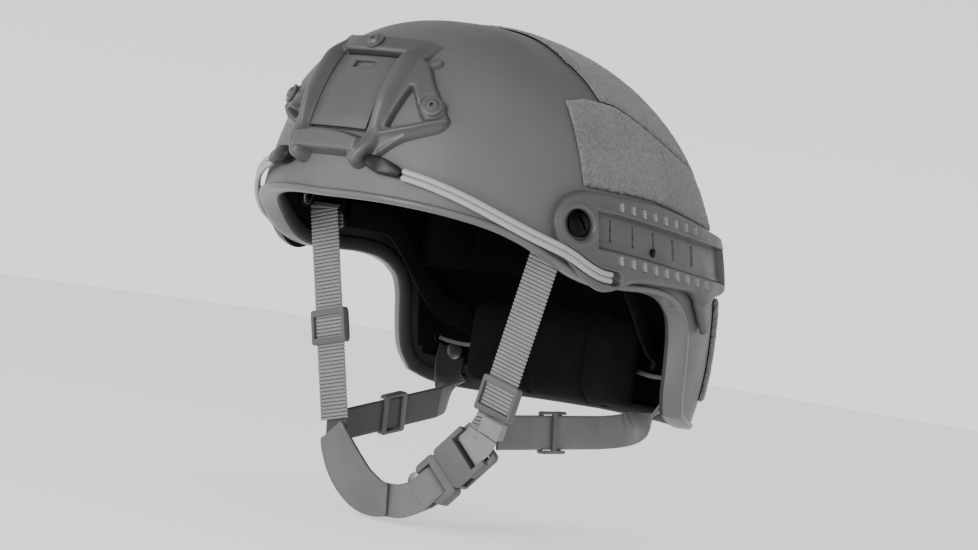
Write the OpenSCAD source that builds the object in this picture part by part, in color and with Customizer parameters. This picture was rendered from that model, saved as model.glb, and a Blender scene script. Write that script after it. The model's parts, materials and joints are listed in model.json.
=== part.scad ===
// High-cut combat helmet with side rails, front shroud, padded inside and four-point chin harness.
// Frame: +X to the wearer's left, -Y to the front, +Z up, origin in the middle of the head at the brow.

/* [Shell] */
// Outside width of the shell
shell_w = 222; // [214:1:232]
// Origin to the front of the shell
shell_front = 137.5; // [133:0.5:143]
// Origin to the back of the shell
shell_rear = 150; // [146:1:158]
// Height of the crown above the origin
crown_h = 115; // [110:1:122]
// Thickness of the shell wall
shell_t = 8; // [6:0.5:9]
// Thickness of the rubber edge trim
trim_t = 1.4; // [1:0.1:2]
// How far the edge trim laps up the inside of the shell
trim_lap = 6; // [4:0.5:8]
// How far the edge trim laps up the outside of the shell
trim_lip = 1.8; // [1:0.1:3]

/* [Rails] */
// Thickness of the rail's flanges
rail_t = 7.5; // [6:0.5:9]
// Depth of the channel between the flanges
channel_deep = 3.6; // [2:0.2:5]
// Height of the channel
channel_h = 19; // [17:0.5:21]
// Height of the centre of the channel at its front end
channel_z = 11; // [9:0.5:13]
// Wedge notches in each row of a rail
notch_count = 8; // [4:1:9]
// Radius of the domed rail bolt's head
bolt_head_r = 7.3; // [6:0.1:8]
// Radius of the rail bolt's shank
bolt_r = 2.5; // [2:0.1:3]

/* [Shroud] */
// Height of the shroud's bar above the origin, at its middle
shroud_bar_z = 34; // [32:1:36]
// Thickness of the shroud's frame
shroud_t = 4.5; // [3.5:0.5:6]
// Height of the raised cheeks and bar above the shell
cheek_t = 9.5; // [8:0.5:11]
// Distance of each wing screw from the middle
wing_x = 47; // [44:1:50]
// Height of the wing screws above the origin
wing_z = 57.5; // [55:0.5:60]
// Radius of the shroud screws' shanks
screw_r = 1.9; // [1.5:0.1:2.5]
// Width of the lock plate on the floor of the shroud's recess
lock_plate_w = 38; // [34:1:38]

/* [Straps] */
// Width of the webbing
strap_w = 20.5; // [18:0.5:22]
// Thickness of the webbing
strap_t = 1.5; // [1:0.1:2]
// Thickness of the frame of a strap slider
slider_t = 4.2; // [3.6:0.1:5]
// Height of a strap slider along its strap
slider_h = 20; // [18:1:23]
// Width of the chin cup's band
cup_w = 26; // [24:1:30]

/* [Fit] */
// Thickness of the side, front and rear pads
pad_t = 17; // [14:1:20]
// Gap between parts of one body that lie against each other
seat = 0.2; // [0.15:0.05:0.3]
// Gap between parts that slide on each other
slip = 0.3; // [0.25:0.05:0.4]

/* [Size dial] */
// Pitch radius of the dial's pinion
pinion_r = 5; // [5:1:5]
// Radius of the dial's knob
knob_r = 19; // [16:1:21]
// Thickness of a rack strip
rack_t = 2.4; // [2:0.1:3]

/* [Hidden] */
$fn = 32;

waist_z = -49;
round_up = 2.45;
round_front = 2.05;
round_rear = 2.9;
lower_taper = 0.2;
crown_shift = -27;

// Superellipse exponent of the plan, fuller at the back
function plan_n(psi) = round_front + (round_rear - round_front) * (1 - cos(psi)) / 2;
function plan_r(psi, off) =
  let (n = plan_n(psi), half_w = shell_w / 2 + off, half_l = (cos(psi) > 0 ? shell_front : shell_rear)
    + off)
  pow(pow(abs(sin(psi)) / half_w, n) + pow(abs(cos(psi)) / half_l, n), -1 / n);
function rise(z, off) = min(max((z - waist_z) / (crown_h - waist_z + off), 0), 1);
function level_scale(z, off) = z >= waist_z
  ? pow(1 - pow(rise(z, off), round_up), 1 / round_up)
  : 1 - lower_taper * pow((waist_z - z) / 100, 2);
function level_shift(z) = crown_shift * pow(min(rise(z, 0), 1), 2);
// A point of the dome, off outside the shell's outer face; psi is 0 at the front, 90 at the wearer's left
function on_dome(psi, z, off) =
  let (r = plan_r(psi, off) * level_scale(z, off))
  [r * sin(psi), level_shift(z) - r * cos(psi), z];
function crown_point(off) = [0, crown_shift, crown_h + off];
function unit(v) = v / norm(v);
function dome_normal(psi, z) =
  unit(cross(on_dome(psi + 0.5, z, 0) - on_dome(psi - 0.5, z, 0), on_dome(psi, z + 0.5, 0) - on_dome(psi,
    z - 0.5, 0)));
// A point at height h above the shell along its own normal
function above(psi, z, h) = on_dome(psi, z, 0) + h * dome_normal(psi, z);
// The angle at which the dome is x wide of the middle at height z, by halving
function psi_for(x, z, lo = 0, hi = 80, n = 16) = n == 0 ? (lo + hi) / 2
  : let (mid = (lo + hi) / 2) on_dome(mid, z, 0)[0] < abs(x) ? psi_for(x, z, mid, hi, n - 1) : psi_for(x,
    z, lo, mid, n - 1);
function front_psi(x, z) = x < 0 ? -psi_for(x, z) : psi_for(x, z);
// The height of the dome over the plan point x, y, by halving
function inside_dome(x, y, z, off) =
  let (dy = y - level_shift(z), psi = atan2(x, -dy)) norm([x, dy]) < plan_r(psi, off) * level_scale(z,
    off);
function dome_z(x, y, off, lo = 0, hi = 130, n = 16) = n == 0 ? (lo + hi) / 2
  : let (mid = (lo + hi) / 2) inside_dome(x, y, mid, off) ? dome_z(x, y, off, mid, hi, n - 1) : dome_z(x,
    y, off, lo, mid, n - 1);
function on_top(x, y, off) = [x, y, dome_z(x, y, off)];

function mix(a, b, t) = a + (b - a) * t;
function flip(list) = [for (i = [len(list) - 1:-1:0]) list[i]];
function mirrored(p) = [-p[0], p[1], p[2]];
// Catmull-Rom curve through points, steps points to each stretch
function curve(p, steps) = concat(
  [for (i = [0:len(p) - 2], k = [0:steps - 1])
    let (a = p[max(i - 1, 0)], b = p[i], c = p[i + 1], d = p[min(i + 2, len(p) - 1)], t = k / steps)
    0.5 * (2 * b + (c - a) * t + (2 * a - 5 * b + 4 * c - d) * t * t + (3 * b - a - 3 * c
      + d) * t * t * t)],
  [p[len(p) - 1]]);
function bump(u) = pow(max(1 - pow(abs(2 * u - 1), 4), 0), 0.5);

// A closed sheet between two grids of points with the same rows and columns
module slab(outer, inner) {
  rows = len(outer);
  cols = len(outer[0]);
  count = rows * cols;
  quads = [for (r = [0:rows - 2], c = [0:cols - 2]) let (a = r * cols + c) [a, a + 1, a + cols + 1,
    a + cols]];
  loop_ids = concat([for (c = [0:cols - 1]) c], [for (r = [1:rows - 1]) r * cols + cols - 1],
    [for (c = [cols - 2:-1:0]) (rows - 1) * cols + c], [for (r = [rows - 2:-1:1]) r * cols]);
  n = len(loop_ids);
  faces = concat(
    [for (q = quads) each [[q[0], q[1], q[2]], [q[0], q[2], q[3]]]],
    [for (q = quads) each [[q[2] + count, q[1] + count, q[0] + count], [q[3] + count, q[2] + count,
      q[0] + count]]],
    [for (i = [0:n - 1]) let (a = loop_ids[i], b = loop_ids[(i + 1) % n])
      each [[b, a, a + count], [b, a + count, b + count]]]);
  polyhedron(concat([for (row = outer) each row], [for (row = inner) each row]), faces);
}

// A tube or bar through sections with the same number of points, joined to its start when ring is true
module loft(secs, ring = false) {
  n = len(secs[0]);
  m = len(secs);
  last = ring ? m - 1 : m - 2;
  sides = [for (i = [0:last], j = [0:n - 1])
    let (a = i * n + j, b = i * n + (j + 1) % n, c = (i + 1) % m * n + (j + 1) % n, d = (i + 1) % m * n
      + j)
    each [[a, c, b], [a, d, c]]];
  caps = ring ? [] : concat([for (j = [1:n - 2]) [0, j, j + 1]],
    [for (j = [1:n - 2]) [(m - 1) * n, (m - 1) * n + j + 1, (m - 1) * n + j]]);
  polyhedron([for (s = secs) each s], concat(sides, caps));
}

// Sweeps a closed outline of [side, out] pairs along points, with a side direction for each point
module sweep(path, sides, outline) {
  m = len(path);
  loft([for (i = [0:m - 1])
    let (t = unit(path[min(i + 1, m - 1)] - path[max(i - 1, 0)]), w = unit(sides[i] - (sides[i] * t) * t),
      n = cross(t, w))
    [for (o = outline) path[i] + o[0] * w + o[1] * n]]);
}
function band_outline(w, t) =
  let (e = t * 0.3) [[-w / 2, -t / 2 + e], [-w / 2 + e, -t / 2], [w / 2 - e, -t / 2], [w / 2, -t / 2 + e],
    [w / 2, t / 2 - e], [w / 2 - e, t / 2], [-w / 2 + e, t / 2], [-w / 2, t / 2 - e]];
module ribbon(path, sides, w, t) {
  sweep(path, sides, band_outline(w, t));
}

// Turns +Z to the direction d at the point p
module aim(p, d) {
  translate(p) rotate([0, acos(d[2] / norm(d)), atan2(d[1], d[0])]) children();
}
// A frame with x across, y along and z out of a strap
module strap_frame(p, across, along) {
  y = unit(along);
  x = unit(across - (across * y) * y);
  z = cross(x, y);
  multmatrix([[x[0], y[0], z[0], p[0]], [x[1], y[1], z[1], p[1]], [x[2], y[2], z[2], p[2]], [0, 0, 0, 1]])
    children();
}
module on_both() {
  children();
  mirror([1, 0, 0]) children();
}
// The shell's rim, as [psi, z] from the front to the foot of the ear cut's back edge, then under the nape
rim_front = curve([[0, 8], [15, 8.3], [29, 6.5], [41, 3], [50, -2], [58, -8.5], [66, -14.5], [75, -17.5],
  [87, -17.2], [98, -16.5], [107, -17.8], [113, -21.5]], 2);
rim_edge = curve([[113, -21.5], [117, -28], [119, -38], [120, -50], [121, -62], [122.6, -73], [126, -83]],
  1);
rim_under = curve([[126, -83], [134, -88.3], [146, -90], [163, -89.2], [180, -88.5]], 3);
front_steps = len(rim_front) - 1;
edge_steps = len(rim_edge) - 1;
under_steps = len(rim_under) - 1;
shell_rows = 9;
half_cols = front_steps + under_steps;
all_cols = 2 * half_cols;
flap_cols = 2 * under_steps + 1;

// Column c of the upper dome starts at this [psi, z], lifted above the rim by lift
function flap_psi(r, k) = let (e = rim_edge[r][0], b = rim_under[k][0], b0 = rim_under[0][0])
  e + (b - b0) * (180 - e) / (180 - b0);
function flap_z(r, k) = let (f = (rim_edge[r][1] - rim_edge[0][1]) / (rim_edge[edge_steps][1]
  - rim_edge[0][1]))
  mix(rim_edge[0][1], rim_under[k][1], f);
function half_base(i) = i <= front_steps ? rim_front[i] : [flap_psi(0, i - front_steps), rim_edge[0][1]];
function base_of(c) = c <= half_cols ? half_base(c) : let (b = half_base(all_cols - c))
  [360 - b[0], b[1]];
function flap_of(r, q) = q <= under_steps ? [flap_psi(r, q), flap_z(r, q)]
  : let (k = 2 * under_steps - q) [360 - flap_psi(r, k), flap_z(r, k)];
function skin_points(off) = concat(
  [for (j = [0:shell_rows - 1], c = [0:all_cols - 1]) let (b = base_of(c))
    on_dome(b[0], mix(b[1], crown_h + off, sin(90 * j / shell_rows)), off)],
  [crown_point(off)],
  [for (r = [1:edge_steps], q = [0:flap_cols - 1]) let (b = flap_of(r, q)) on_dome(b[0], b[1], off)]);
function dome_id(j, c) = j * all_cols + c % all_cols;
pole_id = shell_rows * all_cols;
function flap_id(r, q) = r == 0 ? front_steps + q : pole_id + 1 + (r - 1) * flap_cols + q;
skin_count = pole_id + 1 + edge_steps * flap_cols;
skin_faces = concat(
  [for (j = [0:shell_rows - 2], c = [0:all_cols - 1]) let (a = dome_id(j, c), b = dome_id(j, c + 1),
    d = dome_id(j + 1, c), e = dome_id(j + 1, c + 1))
    each [[a, e, b], [a, d, e]]],
  [for (c = [0:all_cols - 1]) [dome_id(shell_rows - 1, c), pole_id, dome_id(shell_rows - 1, c + 1)]],
  [for (r = [0:edge_steps - 1], q = [0:flap_cols - 2]) let (a = flap_id(r, q), b = flap_id(r, q + 1),
    d = flap_id(r + 1, q), e = flap_id(r + 1, q + 1))
    each [[a, b, e], [a, e, d]]]);
rim_ids = concat([for (c = [0:front_steps]) c], [for (r = [1:edge_steps]) flap_id(r, 0)],
  [for (q = [1:flap_cols - 1]) flap_id(edge_steps, q)], [for (r = [edge_steps - 1:-1:1]) flap_id(r,
    flap_cols - 1)],
  [for (c = [all_cols - front_steps:all_cols - 1]) c]);

module shell() {
  color("dimgray") {
    n = len(rim_ids);
    polyhedron(concat(skin_points(0), skin_points(-shell_t)), concat(skin_faces,
      [for (f = skin_faces) [f[2] + skin_count, f[1] + skin_count, f[0] + skin_count]],
      [for (i = [0:n - 1]) let (a = rim_ids[i], b = rim_ids[(i + 1) % n])
        each [[a, b, b + skin_count], [a, b + skin_count, a + skin_count]]]));
  }
}

// The rim as a closed list of [psi, z], and the way into the shell from it
rim_half = concat(rim_front, [for (i = [1:edge_steps]) rim_edge[i]],
  [for (i = [1:under_steps]) rim_under[i]]);
rim_loop = concat(rim_half, [for (i = [len(rim_half) - 2:-1:1]) [360 - rim_half[i][0], rim_half[i][1]]]);
function settle(p, off) = let (dy = p[1] - level_shift(p[2])) on_dome(atan2(p[0], -dy), p[2], off);
function rim_section(i) =
  let (n = len(rim_loop), p = rim_loop[i], o = on_dome(p[0], p[1], 0), k = on_dome(p[0], p[1], -shell_t),
    before = rim_loop[(i + n - 1) % n], after = rim_loop[(i + 1) % n],
    t = unit(on_dome(after[0], after[1], 0) - on_dome(before[0], before[1], 0)),
    out = unit(o - k), up = unit(cross(out, t)), g = seat + 0.15, h = -shell_t - seat - 0.45, e = trim_t)
  [o + 0.4 * e * out - (g + e) * up, k - 0.4 * e * out - (g + e) * up, settle(k - (g + e) * 0.4 * up,
    h - e),
    settle(k + trim_lap * up, h - e), settle(k + trim_lap * up, h),
    settle(k - g * up, h), settle(o - g * up, g), settle(o + trim_lip * up, g),
    settle(o + trim_lip * up, g + e), settle(o - (g + e) * 0.4 * up, g + e)];
module edge_trim() {
  color("gray") loft([for (i = [0:len(rim_loop) - 1]) rim_section(i)], true);
}

// Front shroud: cheeks, crossbar and two winged frames, cut to the shell's face
bar_x = 19;
cheek_x = 26;
cheek_top_z = 88;
foot_z = 27;
// A raised rib along points [x, z] of the brow, w wide, standing from the shell to height high
module rib(points, w, high) {
  line = curve(points, 2);
  spots = [for (p = line) above(front_psi(p[0], p[1]), p[1], 0)];
  normals = [for (p = line) dome_normal(front_psi(p[0], p[1]), p[1])];
  m = len(line);
  low = seat + 0.1;
  e = 1.2;
  sweep(spots, [for (i = [0:m - 1]) cross(normals[i], spots[min(i + 1, m - 1)] - spots[max(i - 1, 0)])],
    [[-w / 2 - 0.5, low], [w / 2 + 0.5, low], [w / 2, high - e], [w / 2 - e, high], [-w / 2 + e, high],
      [-w / 2, high - e]]);
}
module on_sides() {
  children();
  mirror([1, 0, 0]) children();
}
module shroud() {
  color("dimgray") resize([0, 0, 0]) difference() {
    union() {
      on_sides() {
        rib([[cheek_x, 42], [cheek_x, 60], [cheek_x - 1, 76], [cheek_x - 2, cheek_top_z + 4]], 8.6,
          cheek_t);
        rib([[cheek_x, 47], [cheek_x - 2, 38], [bar_x, foot_z]], 9, cheek_t + 0.3);
        rib([[cheek_x + 2, 38], [38, 45.5], [wing_x, 50], [wing_x + 4, 52.5]], 6.4, shroud_t);
        rib([[wing_x + 5, 51], [wing_x - 0.5, wing_z + 1], [wing_x - 6, 67], [32, 78], [cheek_x, 82]],
          9.4, shroud_t + 0.4);
        rib([[32, 78], [36.5, 83.5]], 4, shroud_t - 0.9);
      }
      rib([[-bar_x - 5, shroud_bar_z], [0, shroud_bar_z + 0.8], [bar_x + 5, shroud_bar_z]], 11, cheek_t
        + 1.1);
      rib([[-cheek_x, cheek_top_z], [0, cheek_top_z + 0.6], [cheek_x, cheek_top_z]], 8.6, shroud_t + 0.8);
    }
    on_sides() screw_hole(wing_x, wing_z);
    screw_hole(0, cheek_top_z);
  }
}
module screw_hole(x, z) {
  psi = front_psi(x, z);
  aim(above(psi, z, -4), dome_normal(psi, z)) cylinder(r = screw_r + seat, h = 24);
}
// Plate on the floor of the recess, with the slot that a night-vision arm drops its lock into
plate_low_z = 42.5;
plate_high_z = 82;
lock_slot_z = 77.5;
lock_slot_w = 14;
lock_slot_h = 5;
module shroud_lock_plate() {
  zs = [for (i = [0:5]) mix(plate_low_z, plate_high_z, i / 5)];
  xs = [for (j = [-3:3]) j / 6 * lock_plate_w];
  color("slategray") difference() {
    slab([for (x = xs) [for (z = zs) above(front_psi(x, z), z, 2.6)]],
      [for (x = xs) [for (z = zs) above(front_psi(x, z), z, 0.4)]]);
    aim(above(0, lock_slot_z, -1), dome_normal(0, lock_slot_z)) translate([-lock_slot_h / 2,
      -lock_slot_w / 2, 0]) cube([lock_slot_h, lock_slot_w, 6]);
  }
}
module shroud_screw(x, z, height) {
  psi = front_psi(x, z);
  color("silver") aim(above(psi, z, height), dome_normal(psi, z)) difference() {
    union() {
      cylinder(r = 5.5, h = 1.2);
      translate([0, 0, 1.2]) cylinder(r1 = 3.6, r2 = 2.6, h = 1.4);
      translate([0, 0, -height - shell_t + 0.5]) cylinder(r = screw_r, h = height + shell_t);
    }
    translate([0, 0, 0.8]) cylinder(r = 1.3, h = 4, $fn = 6);
  }
}
module shroud_screws() {
  for (s = [-1, 1]) {
    shroud_screw(s * wing_x, wing_z, shroud_t + 1 + seat);
  }
  shroud_screw(0, cheek_top_z, shroud_t + 1 + seat);
}

// Side rails: a skin over the temple with a channel between two toothed flanges
rail_low_z = -5.5;
rail_start = 58;
rail_end = 141;
bolt_psi = 64.9;
bolt_z = 11.2;
function fade(v, lo, hi) = let (t = min(max((v - lo) / (hi - lo), 0), 1)) t * t * (3 - 2 * t);
function rail_fall(psi) = -6.5 * fade(psi, 66, 140);
function nose(psi) = sqrt(max(1 - pow(max(rail_start + 12 - psi, 0) / 12.2, 2), 0));
function rail_high(psi) = mix(bolt_z, 30, nose(psi)) - 9 * fade(psi, 96, 141);
function rail_low(psi) = mix(bolt_z, -13.5 - 8 * exp(-pow((psi - 75) / 8.5, 2)), nose(psi))
  + 5 * fade(psi, 128, 141);
function channel_top(psi) = channel_z + channel_h / 2 + rail_fall(psi);
function channel_low(psi) = channel_z - channel_h / 2 + rail_fall(psi);
function channel_on(psi) = fade(psi, 70.5, 72) * (1 - fade(psi, 134, 135.5));
rail_psis = concat([rail_start, 58.8, 61, 64.5, 68, 70.7, 72], [for (i = [1:11]) 72 + 5.6 * i],
  [134.6, 135.6, 138.5, rail_end]);
function rail_row(psi) =
  let (lo = rail_low(psi), hi = rail_high(psi), ct = min(channel_top(psi), hi - 2),
    cl = max(channel_low(psi), lo + 2),
    full = rail_t * mix(0.55, 1, nose(psi)) * mix(1, 0.75, fade(psi, 134, 141)), deep = full
      - channel_deep * channel_on(psi),
    edge = max(full * 0.35, seat * 2 + trim_t + 1.6))
  [[lo, edge], [lo + 1.2, full * 0.85], [lo + 3, full], [cl - 0.4, full], [cl + 0.3, deep],
    [ct - 0.6, deep], [ct - 0.2, full + 0.6 * channel_on(psi)], [ct + 1.4, full + 0.6 * channel_on(psi)],
    [hi - 1.2, full * 0.8], [hi, edge]];
module rail_skin() {
  slab([for (a = rail_psis) [for (p = rail_row(a)) on_dome(a, p[0], p[1])]],
    [for (a = rail_psis) [for (p = rail_row(a)) on_dome(a, p[0], p[0] < rail_low_z ? 2 * seat + trim_t
      + 0.4 : seat + 0.15)]]);
}
notch_pitch = 5.2;
notch_start = 80.5;
notch_h = 4.8;
notch_deep = 2.6;
// One wedge notch, deep at its front end, its floor rising to the flange's face at the rear
module notch(psi, z) {
  aim(above(psi, z, rail_t), dome_normal(psi, z)) rotate([90, 0, 90]) linear_extrude(notch_h,
    center = true)
    polygon([[-2.4, -notch_deep], [2.6, 0.9], [2.6, 4], [-2.4, 4]]);
}
module rail_tail() {
  hull() {
    for (p = [[119, -12], [123, -12], [126.5, -33], [129.5, -33]]) {
      aim(on_dome(p[0], p[1], 1.2), dome_normal(p[0], p[1])) cylinder(r = 2.2, h = rail_t - 3.5,
        $fn = 12);
    }
  }
}
module rail() {
  color("gray") difference() {
    union() {
      rail_skin();
      rail_tail();
    }
    for (i = [0:notch_count - 1]) {
      notch(notch_start + notch_pitch * i, channel_top(notch_start) + 4.6 - 0.55 * i);
      notch(notch_start - 0.8 + notch_pitch * i, channel_low(notch_start) - 4.6 - 0.55 * i);
    }
    aim(above(bolt_psi, bolt_z, -1), dome_normal(bolt_psi, bolt_z)) cylinder(r = bolt_r + seat, h = 20);
    aim(above(bolt_psi, bolt_z, rail_t - 4), dome_normal(bolt_psi, bolt_z)) cylinder(r1 = bolt_head_r
      + 0.4, r2 = bolt_head_r + 1.8, h = 6);
    for (i = [0:4]) {
      psi = 77.2 + 9.9 * i;
      z = mix(channel_top(psi), channel_low(psi), 0.5) + 0.5;
      aim(on_dome(psi, z, rail_t - channel_deep - 2), dome_normal(psi, z)) cube([11, 1.6, 9],
        center = true);
    }
    rear_screw_hole();
    loop_recess();
  }
}
rear_screw_psi = 96.5;
rear_screw_z = 3.2;
module rear_screw_hole() {
  aim(above(rear_screw_psi, rear_screw_z, -1), dome_normal(rear_screw_psi, rear_screw_z))
    cylinder(r = screw_r + seat, h = 12);
}
// Groove in the front lobe that holds the end of the bungee
module loop_recess() {
  ends = concat([[56.5, -1.6]], bungee_lobe, [[78.6, -13.7]]);
  half = bungee_r * 2 + 0.5;
  sweep([for (p = ends) on_dome(p[0], p[1], rail_t - 3.2)], [for (p = ends) [0, 0, 1]],
    [[-half, 0], [half, 0], [half, 8], [-half, 8]]);
}
module rail_left() {
  rail();
}
module rail_right() {
  mirror([1, 0, 0]) rail();
}
module rail_bolts() {
  color([0.08, 0.08, 0.09]) on_both() aim(above(bolt_psi, bolt_z, rail_t - 4 + seat),
    dome_normal(bolt_psi, bolt_z)) difference() {
    union() {
      cylinder(r = bolt_head_r, h = 1.4);
      translate([0, 0, 1.4]) intersection() {
        translate([0, 0, -8.6]) sphere(r = 11.24, $fn = 48);
        cylinder(r = bolt_head_r, h = 4);
      }
      translate([0, 0, -rail_t - shell_t - 1]) cylinder(r = bolt_r, h = rail_t + shell_t + 1.5);
    }
    rotate([0, 0, 35]) translate([-7, -0.7, 2.6]) cube([14, 1.4, 4]);
  }
}
module rail_rear_screws() {
  color([0.1, 0.1, 0.1]) on_both() aim(above(rear_screw_psi, rear_screw_z, rail_t - channel_deep),
    dome_normal(rear_screw_psi, rear_screw_z)) difference() {
    union() {
      translate([0, 0, 0.1]) cylinder(r = 2.4, h = 1);
      translate([0, 0, -10]) cylinder(r = screw_r, h = 10.5);
    }
    translate([-3, -0.4, 0.6]) cube([6, 0.8, 2]);
  }
}
anchor_plate_t = 1.8;
wall_gap = 0.75;
nut_off = -shell_t - anchor_plate_t - wall_gap - seat;
module rail_nuts() {
  color("gray") on_both() aim(above(bolt_psi, bolt_z, nut_off - 2), dome_normal(bolt_psi, bolt_z))
    difference() {
    union() {
      cylinder(r = 6, h = 1.5);
      cylinder(r = 3.6, h = 2);
    }
    translate([0, 0, -1]) cylinder(r = bolt_r, h = 4);
  }
}

// Loop panels for patches
loop_t = 2;
module side_loop() {
  psis = [for (i = [0:12]) 69 + 5.75 * i];
  color("darkgray") slab([for (a = psis) [for (j = [0:6]) on_dome(a, side_loop_z(a, j / 6), j % 6 == 0
    ? loop_t * 0.6 : loop_t)]],
    [for (a = psis) [for (j = [0:6]) on_dome(a, side_loop_z(a, j / 6), seat + 0.1)]]);
}
function side_loop_low(a) = 32.5 - 9 * fade(a, 96, 141);
function side_loop_high(a) = 79.5 - 3 * (1 - fade(a, 69, 82)) - 24 * fade(a, 96, 141);
function side_loop_z(a, t) = mix(side_loop_low(a), side_loop_high(a), t);
module loop_side_left() {
  side_loop();
}
module loop_side_right() {
  mirror([1, 0, 0]) side_loop();
}
crown_loop_front = -26;
crown_loop_back = 106;
loop_seam = 1.4;
side_loop_top = [for (a = [90:3:141]) let (p = on_dome(a, side_loop_high(a) + loop_seam, 0))
  [p[1], p[0]]];
function crown_loop_half(y) =
  min(62 + 17 * fade(y, crown_loop_front, -11), lookup(y, side_loop_top)) * (1 - 0.3 * pow(fade(y, 84,
    112), 2));
module loop_crown() {
  ys = concat([crown_loop_front, crown_loop_front + 5], [for (i = [1:12]) mix(crown_loop_front,
    crown_loop_back, i / 12)]);
  ts = [for (j = [0:12]) j / 6 - 1];
  color("darkgray") slab([for (y = ys) [for (t = flip(ts)) on_top(t * crown_loop_half(y), y, loop_t)]],
    [for (y = ys) [for (t = flip(ts)) on_top(t * crown_loop_half(y), y, seat + 0.7)]]);
}
module loop_rear() {
  psis = [for (i = [0:14]) mix(139, 221, i / 14)];
  zs = [for (j = [0:5]) mix(-74, -14, j / 5)];
  color("darkgray") slab([for (a = psis) [for (z = zs) on_dome(a, z, loop_t + 0.8)]], [for (a = psis)
    [for (z = zs) on_dome(a, z, seat + 0.4)]]);
}

// Inside: a foam cap high in the shell and pads below it
liner_base_z = 40;
liner_gap = 0.8;
liner_t = 11.4;
module liner_cap() {
  n = 28;
  rows = 6;
  outer = [for (j = [0:rows - 1]) [for (c = [0:n - 1]) on_dome(360 * c / n, mix(liner_base_z, crown_h
    - shell_t, sin(90 * j / rows)), -shell_t - liner_gap)]];
  inner = [for (j = [0:rows - 1]) [for (c = [0:n - 1]) on_dome(360 * c / n, mix(liner_base_z, crown_h
    - shell_t - liner_t, sin(90 * j / rows)), -shell_t - liner_t)]];
  color([0.07, 0.07, 0.08]) dome_cap(outer, inner, crown_point(-shell_t - liner_gap),
    crown_point(-shell_t - liner_t));
}
// A bowl between two grids of closed rings, with one top point each
module dome_cap(outer, inner, top, under) {
  m = len(outer);
  n = len(outer[0]);
  s = m * n + 1;
  quads = [for (j = [0:m - 2], c = [0:n - 1]) [j * n + c, (j + 1) * n + c, (j + 1) * n + (c + 1) % n,
    j * n + (c + 1) % n]];
  fans = [for (c = [0:n - 1]) [(m - 1) * n + c, m * n, (m - 1) * n + (c + 1) % n]];
  tris = concat([for (q = quads) each [[q[0], q[1], q[2]], [q[0], q[2], q[3]]]], fans);
  polyhedron(concat([for (r = outer) each r], [top], [for (r = inner) each r], [under]), concat(tris,
    [for (t = tris) [t[2] + s, t[1] + s, t[0] + s]],
    [for (c = [0:n - 1]) let (d = (c + 1) % n) each [[c, d, d + s], [c, d + s, c + s]]]));
}
pad_gap = 1.3;
// A pad against the shell: flat back, crowned face with sewn channels across it
function pad_depth(u, v, t, channels) = t * (0.45 + 0.55 * bump(u) * bump(v))
  - 1.6 * pow(abs(cos(180 * u * channels)), 12) * bump(v) * bump(u);
module pad(psi_a, psi_b, low_a, low_b, high, t, channels) {
  nu = channels > 2 ? 12 : 10;
  nv = 6;
  us = [for (i = [0:nu]) 0.5 - 0.5 * cos(180 * i / nu)];
  vs = [for (j = [0:nv]) 0.5 - 0.5 * cos(180 * j / nv)];
  back = -shell_t - pad_gap;
  color([0.05, 0.05, 0.055]) slab(
    [for (u = us) [for (v = vs) on_dome(mix(psi_a, psi_b, u), mix(mix(low_a, low_b, u), high, v), back)]],
    [for (u = us) [for (v = vs) on_dome(mix(psi_a + 1.2, psi_b - 1.2, u), mix(mix(low_a, low_b, u) + 1.5,
      high - 1.5, v), back - pad_depth(u, v, t, channels))]]);
}
module pad_front() {
  pad(-45, 45, 17, 17, liner_base_z - 1, pad_t, 4);
}
module pad_side_left() {
  pad(73, 115, -8.5, -9, liner_base_z - 1, pad_t, 2);
}
module pad_side_right() {
  mirror([1, 0, 0]) pad_side_left();
}
module pad_rear_left() {
  pad(121, 159, -24, -20, liner_base_z - 1, pad_t, 2);
}
module pad_rear_right() {
  mirror([1, 0, 0]) pad_rear_left();
}
module pad_rear_middle() {
  pad(162, 198, -20, -20, liner_base_z - 1, pad_t, 2);
}
module pad_crown() {
  n = 24;
  rows = 4;
  top = crown_h - shell_t - liner_t - liner_gap;
  low = top - 14;
  outer_off = -shell_t - liner_t - liner_gap;
  rings = [for (j = [0:rows - 1]) [for (c = [0:n - 1]) on_dome(360 * c / n, mix(low, crown_h + outer_off,
    sin(90 * j / rows)), outer_off)]];
  inner = [for (j = [0:rows - 1]) [for (c = [0:n - 1]) let (p = rings[j][c], m = crown_point(0), f = 0.93)
    [mix(m[0], p[0], f), mix(m[1], p[1], f), low - 2 - 9 * sin(90 * j / rows) + (p[2] - low) * 0.2]]];
  color([0.05, 0.05, 0.055]) dome_cap(rings, inner, crown_point(outer_off), [0, crown_shift, low - 11
    + 0.2 * (top - low)]);
}

// Nape pad on its plate, carried by the size dial
nape_mid_y = 4;
nape_z = -60;
nape_h = 62;
nape_back_r = 101;
nape_pad_t = 16;
function nape_at(a, r, z) = [r * sin(a), nape_mid_y + r * cos(a), z];
module nape_pad() {
  us = [for (i = [0:14]) 0.5 - 0.5 * cos(180 * i / 14)];
  vs = [for (j = [0:8]) 0.5 - 0.5 * cos(180 * j / 8)];
  half = 41;
  color([0.05, 0.05, 0.055]) slab(
    [for (u = us) [for (v = vs) nape_at(mix(half, -half, u), nape_back_r - seat,
      nape_z + nape_h * (v - 0.5) * (0.72 + 0.28 * bump(u)))]],
    [for (u = us) [for (v = vs) nape_at(mix(half - 1.5, 1.5 - half, u), nape_back_r - seat - pad_depth(u,
      v, nape_pad_t, 3),
      nape_z + (nape_h - 4) * (v - 0.5) * (0.72 + 0.28 * bump(u)))]]);
}
plate_t = 2.4;
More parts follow.
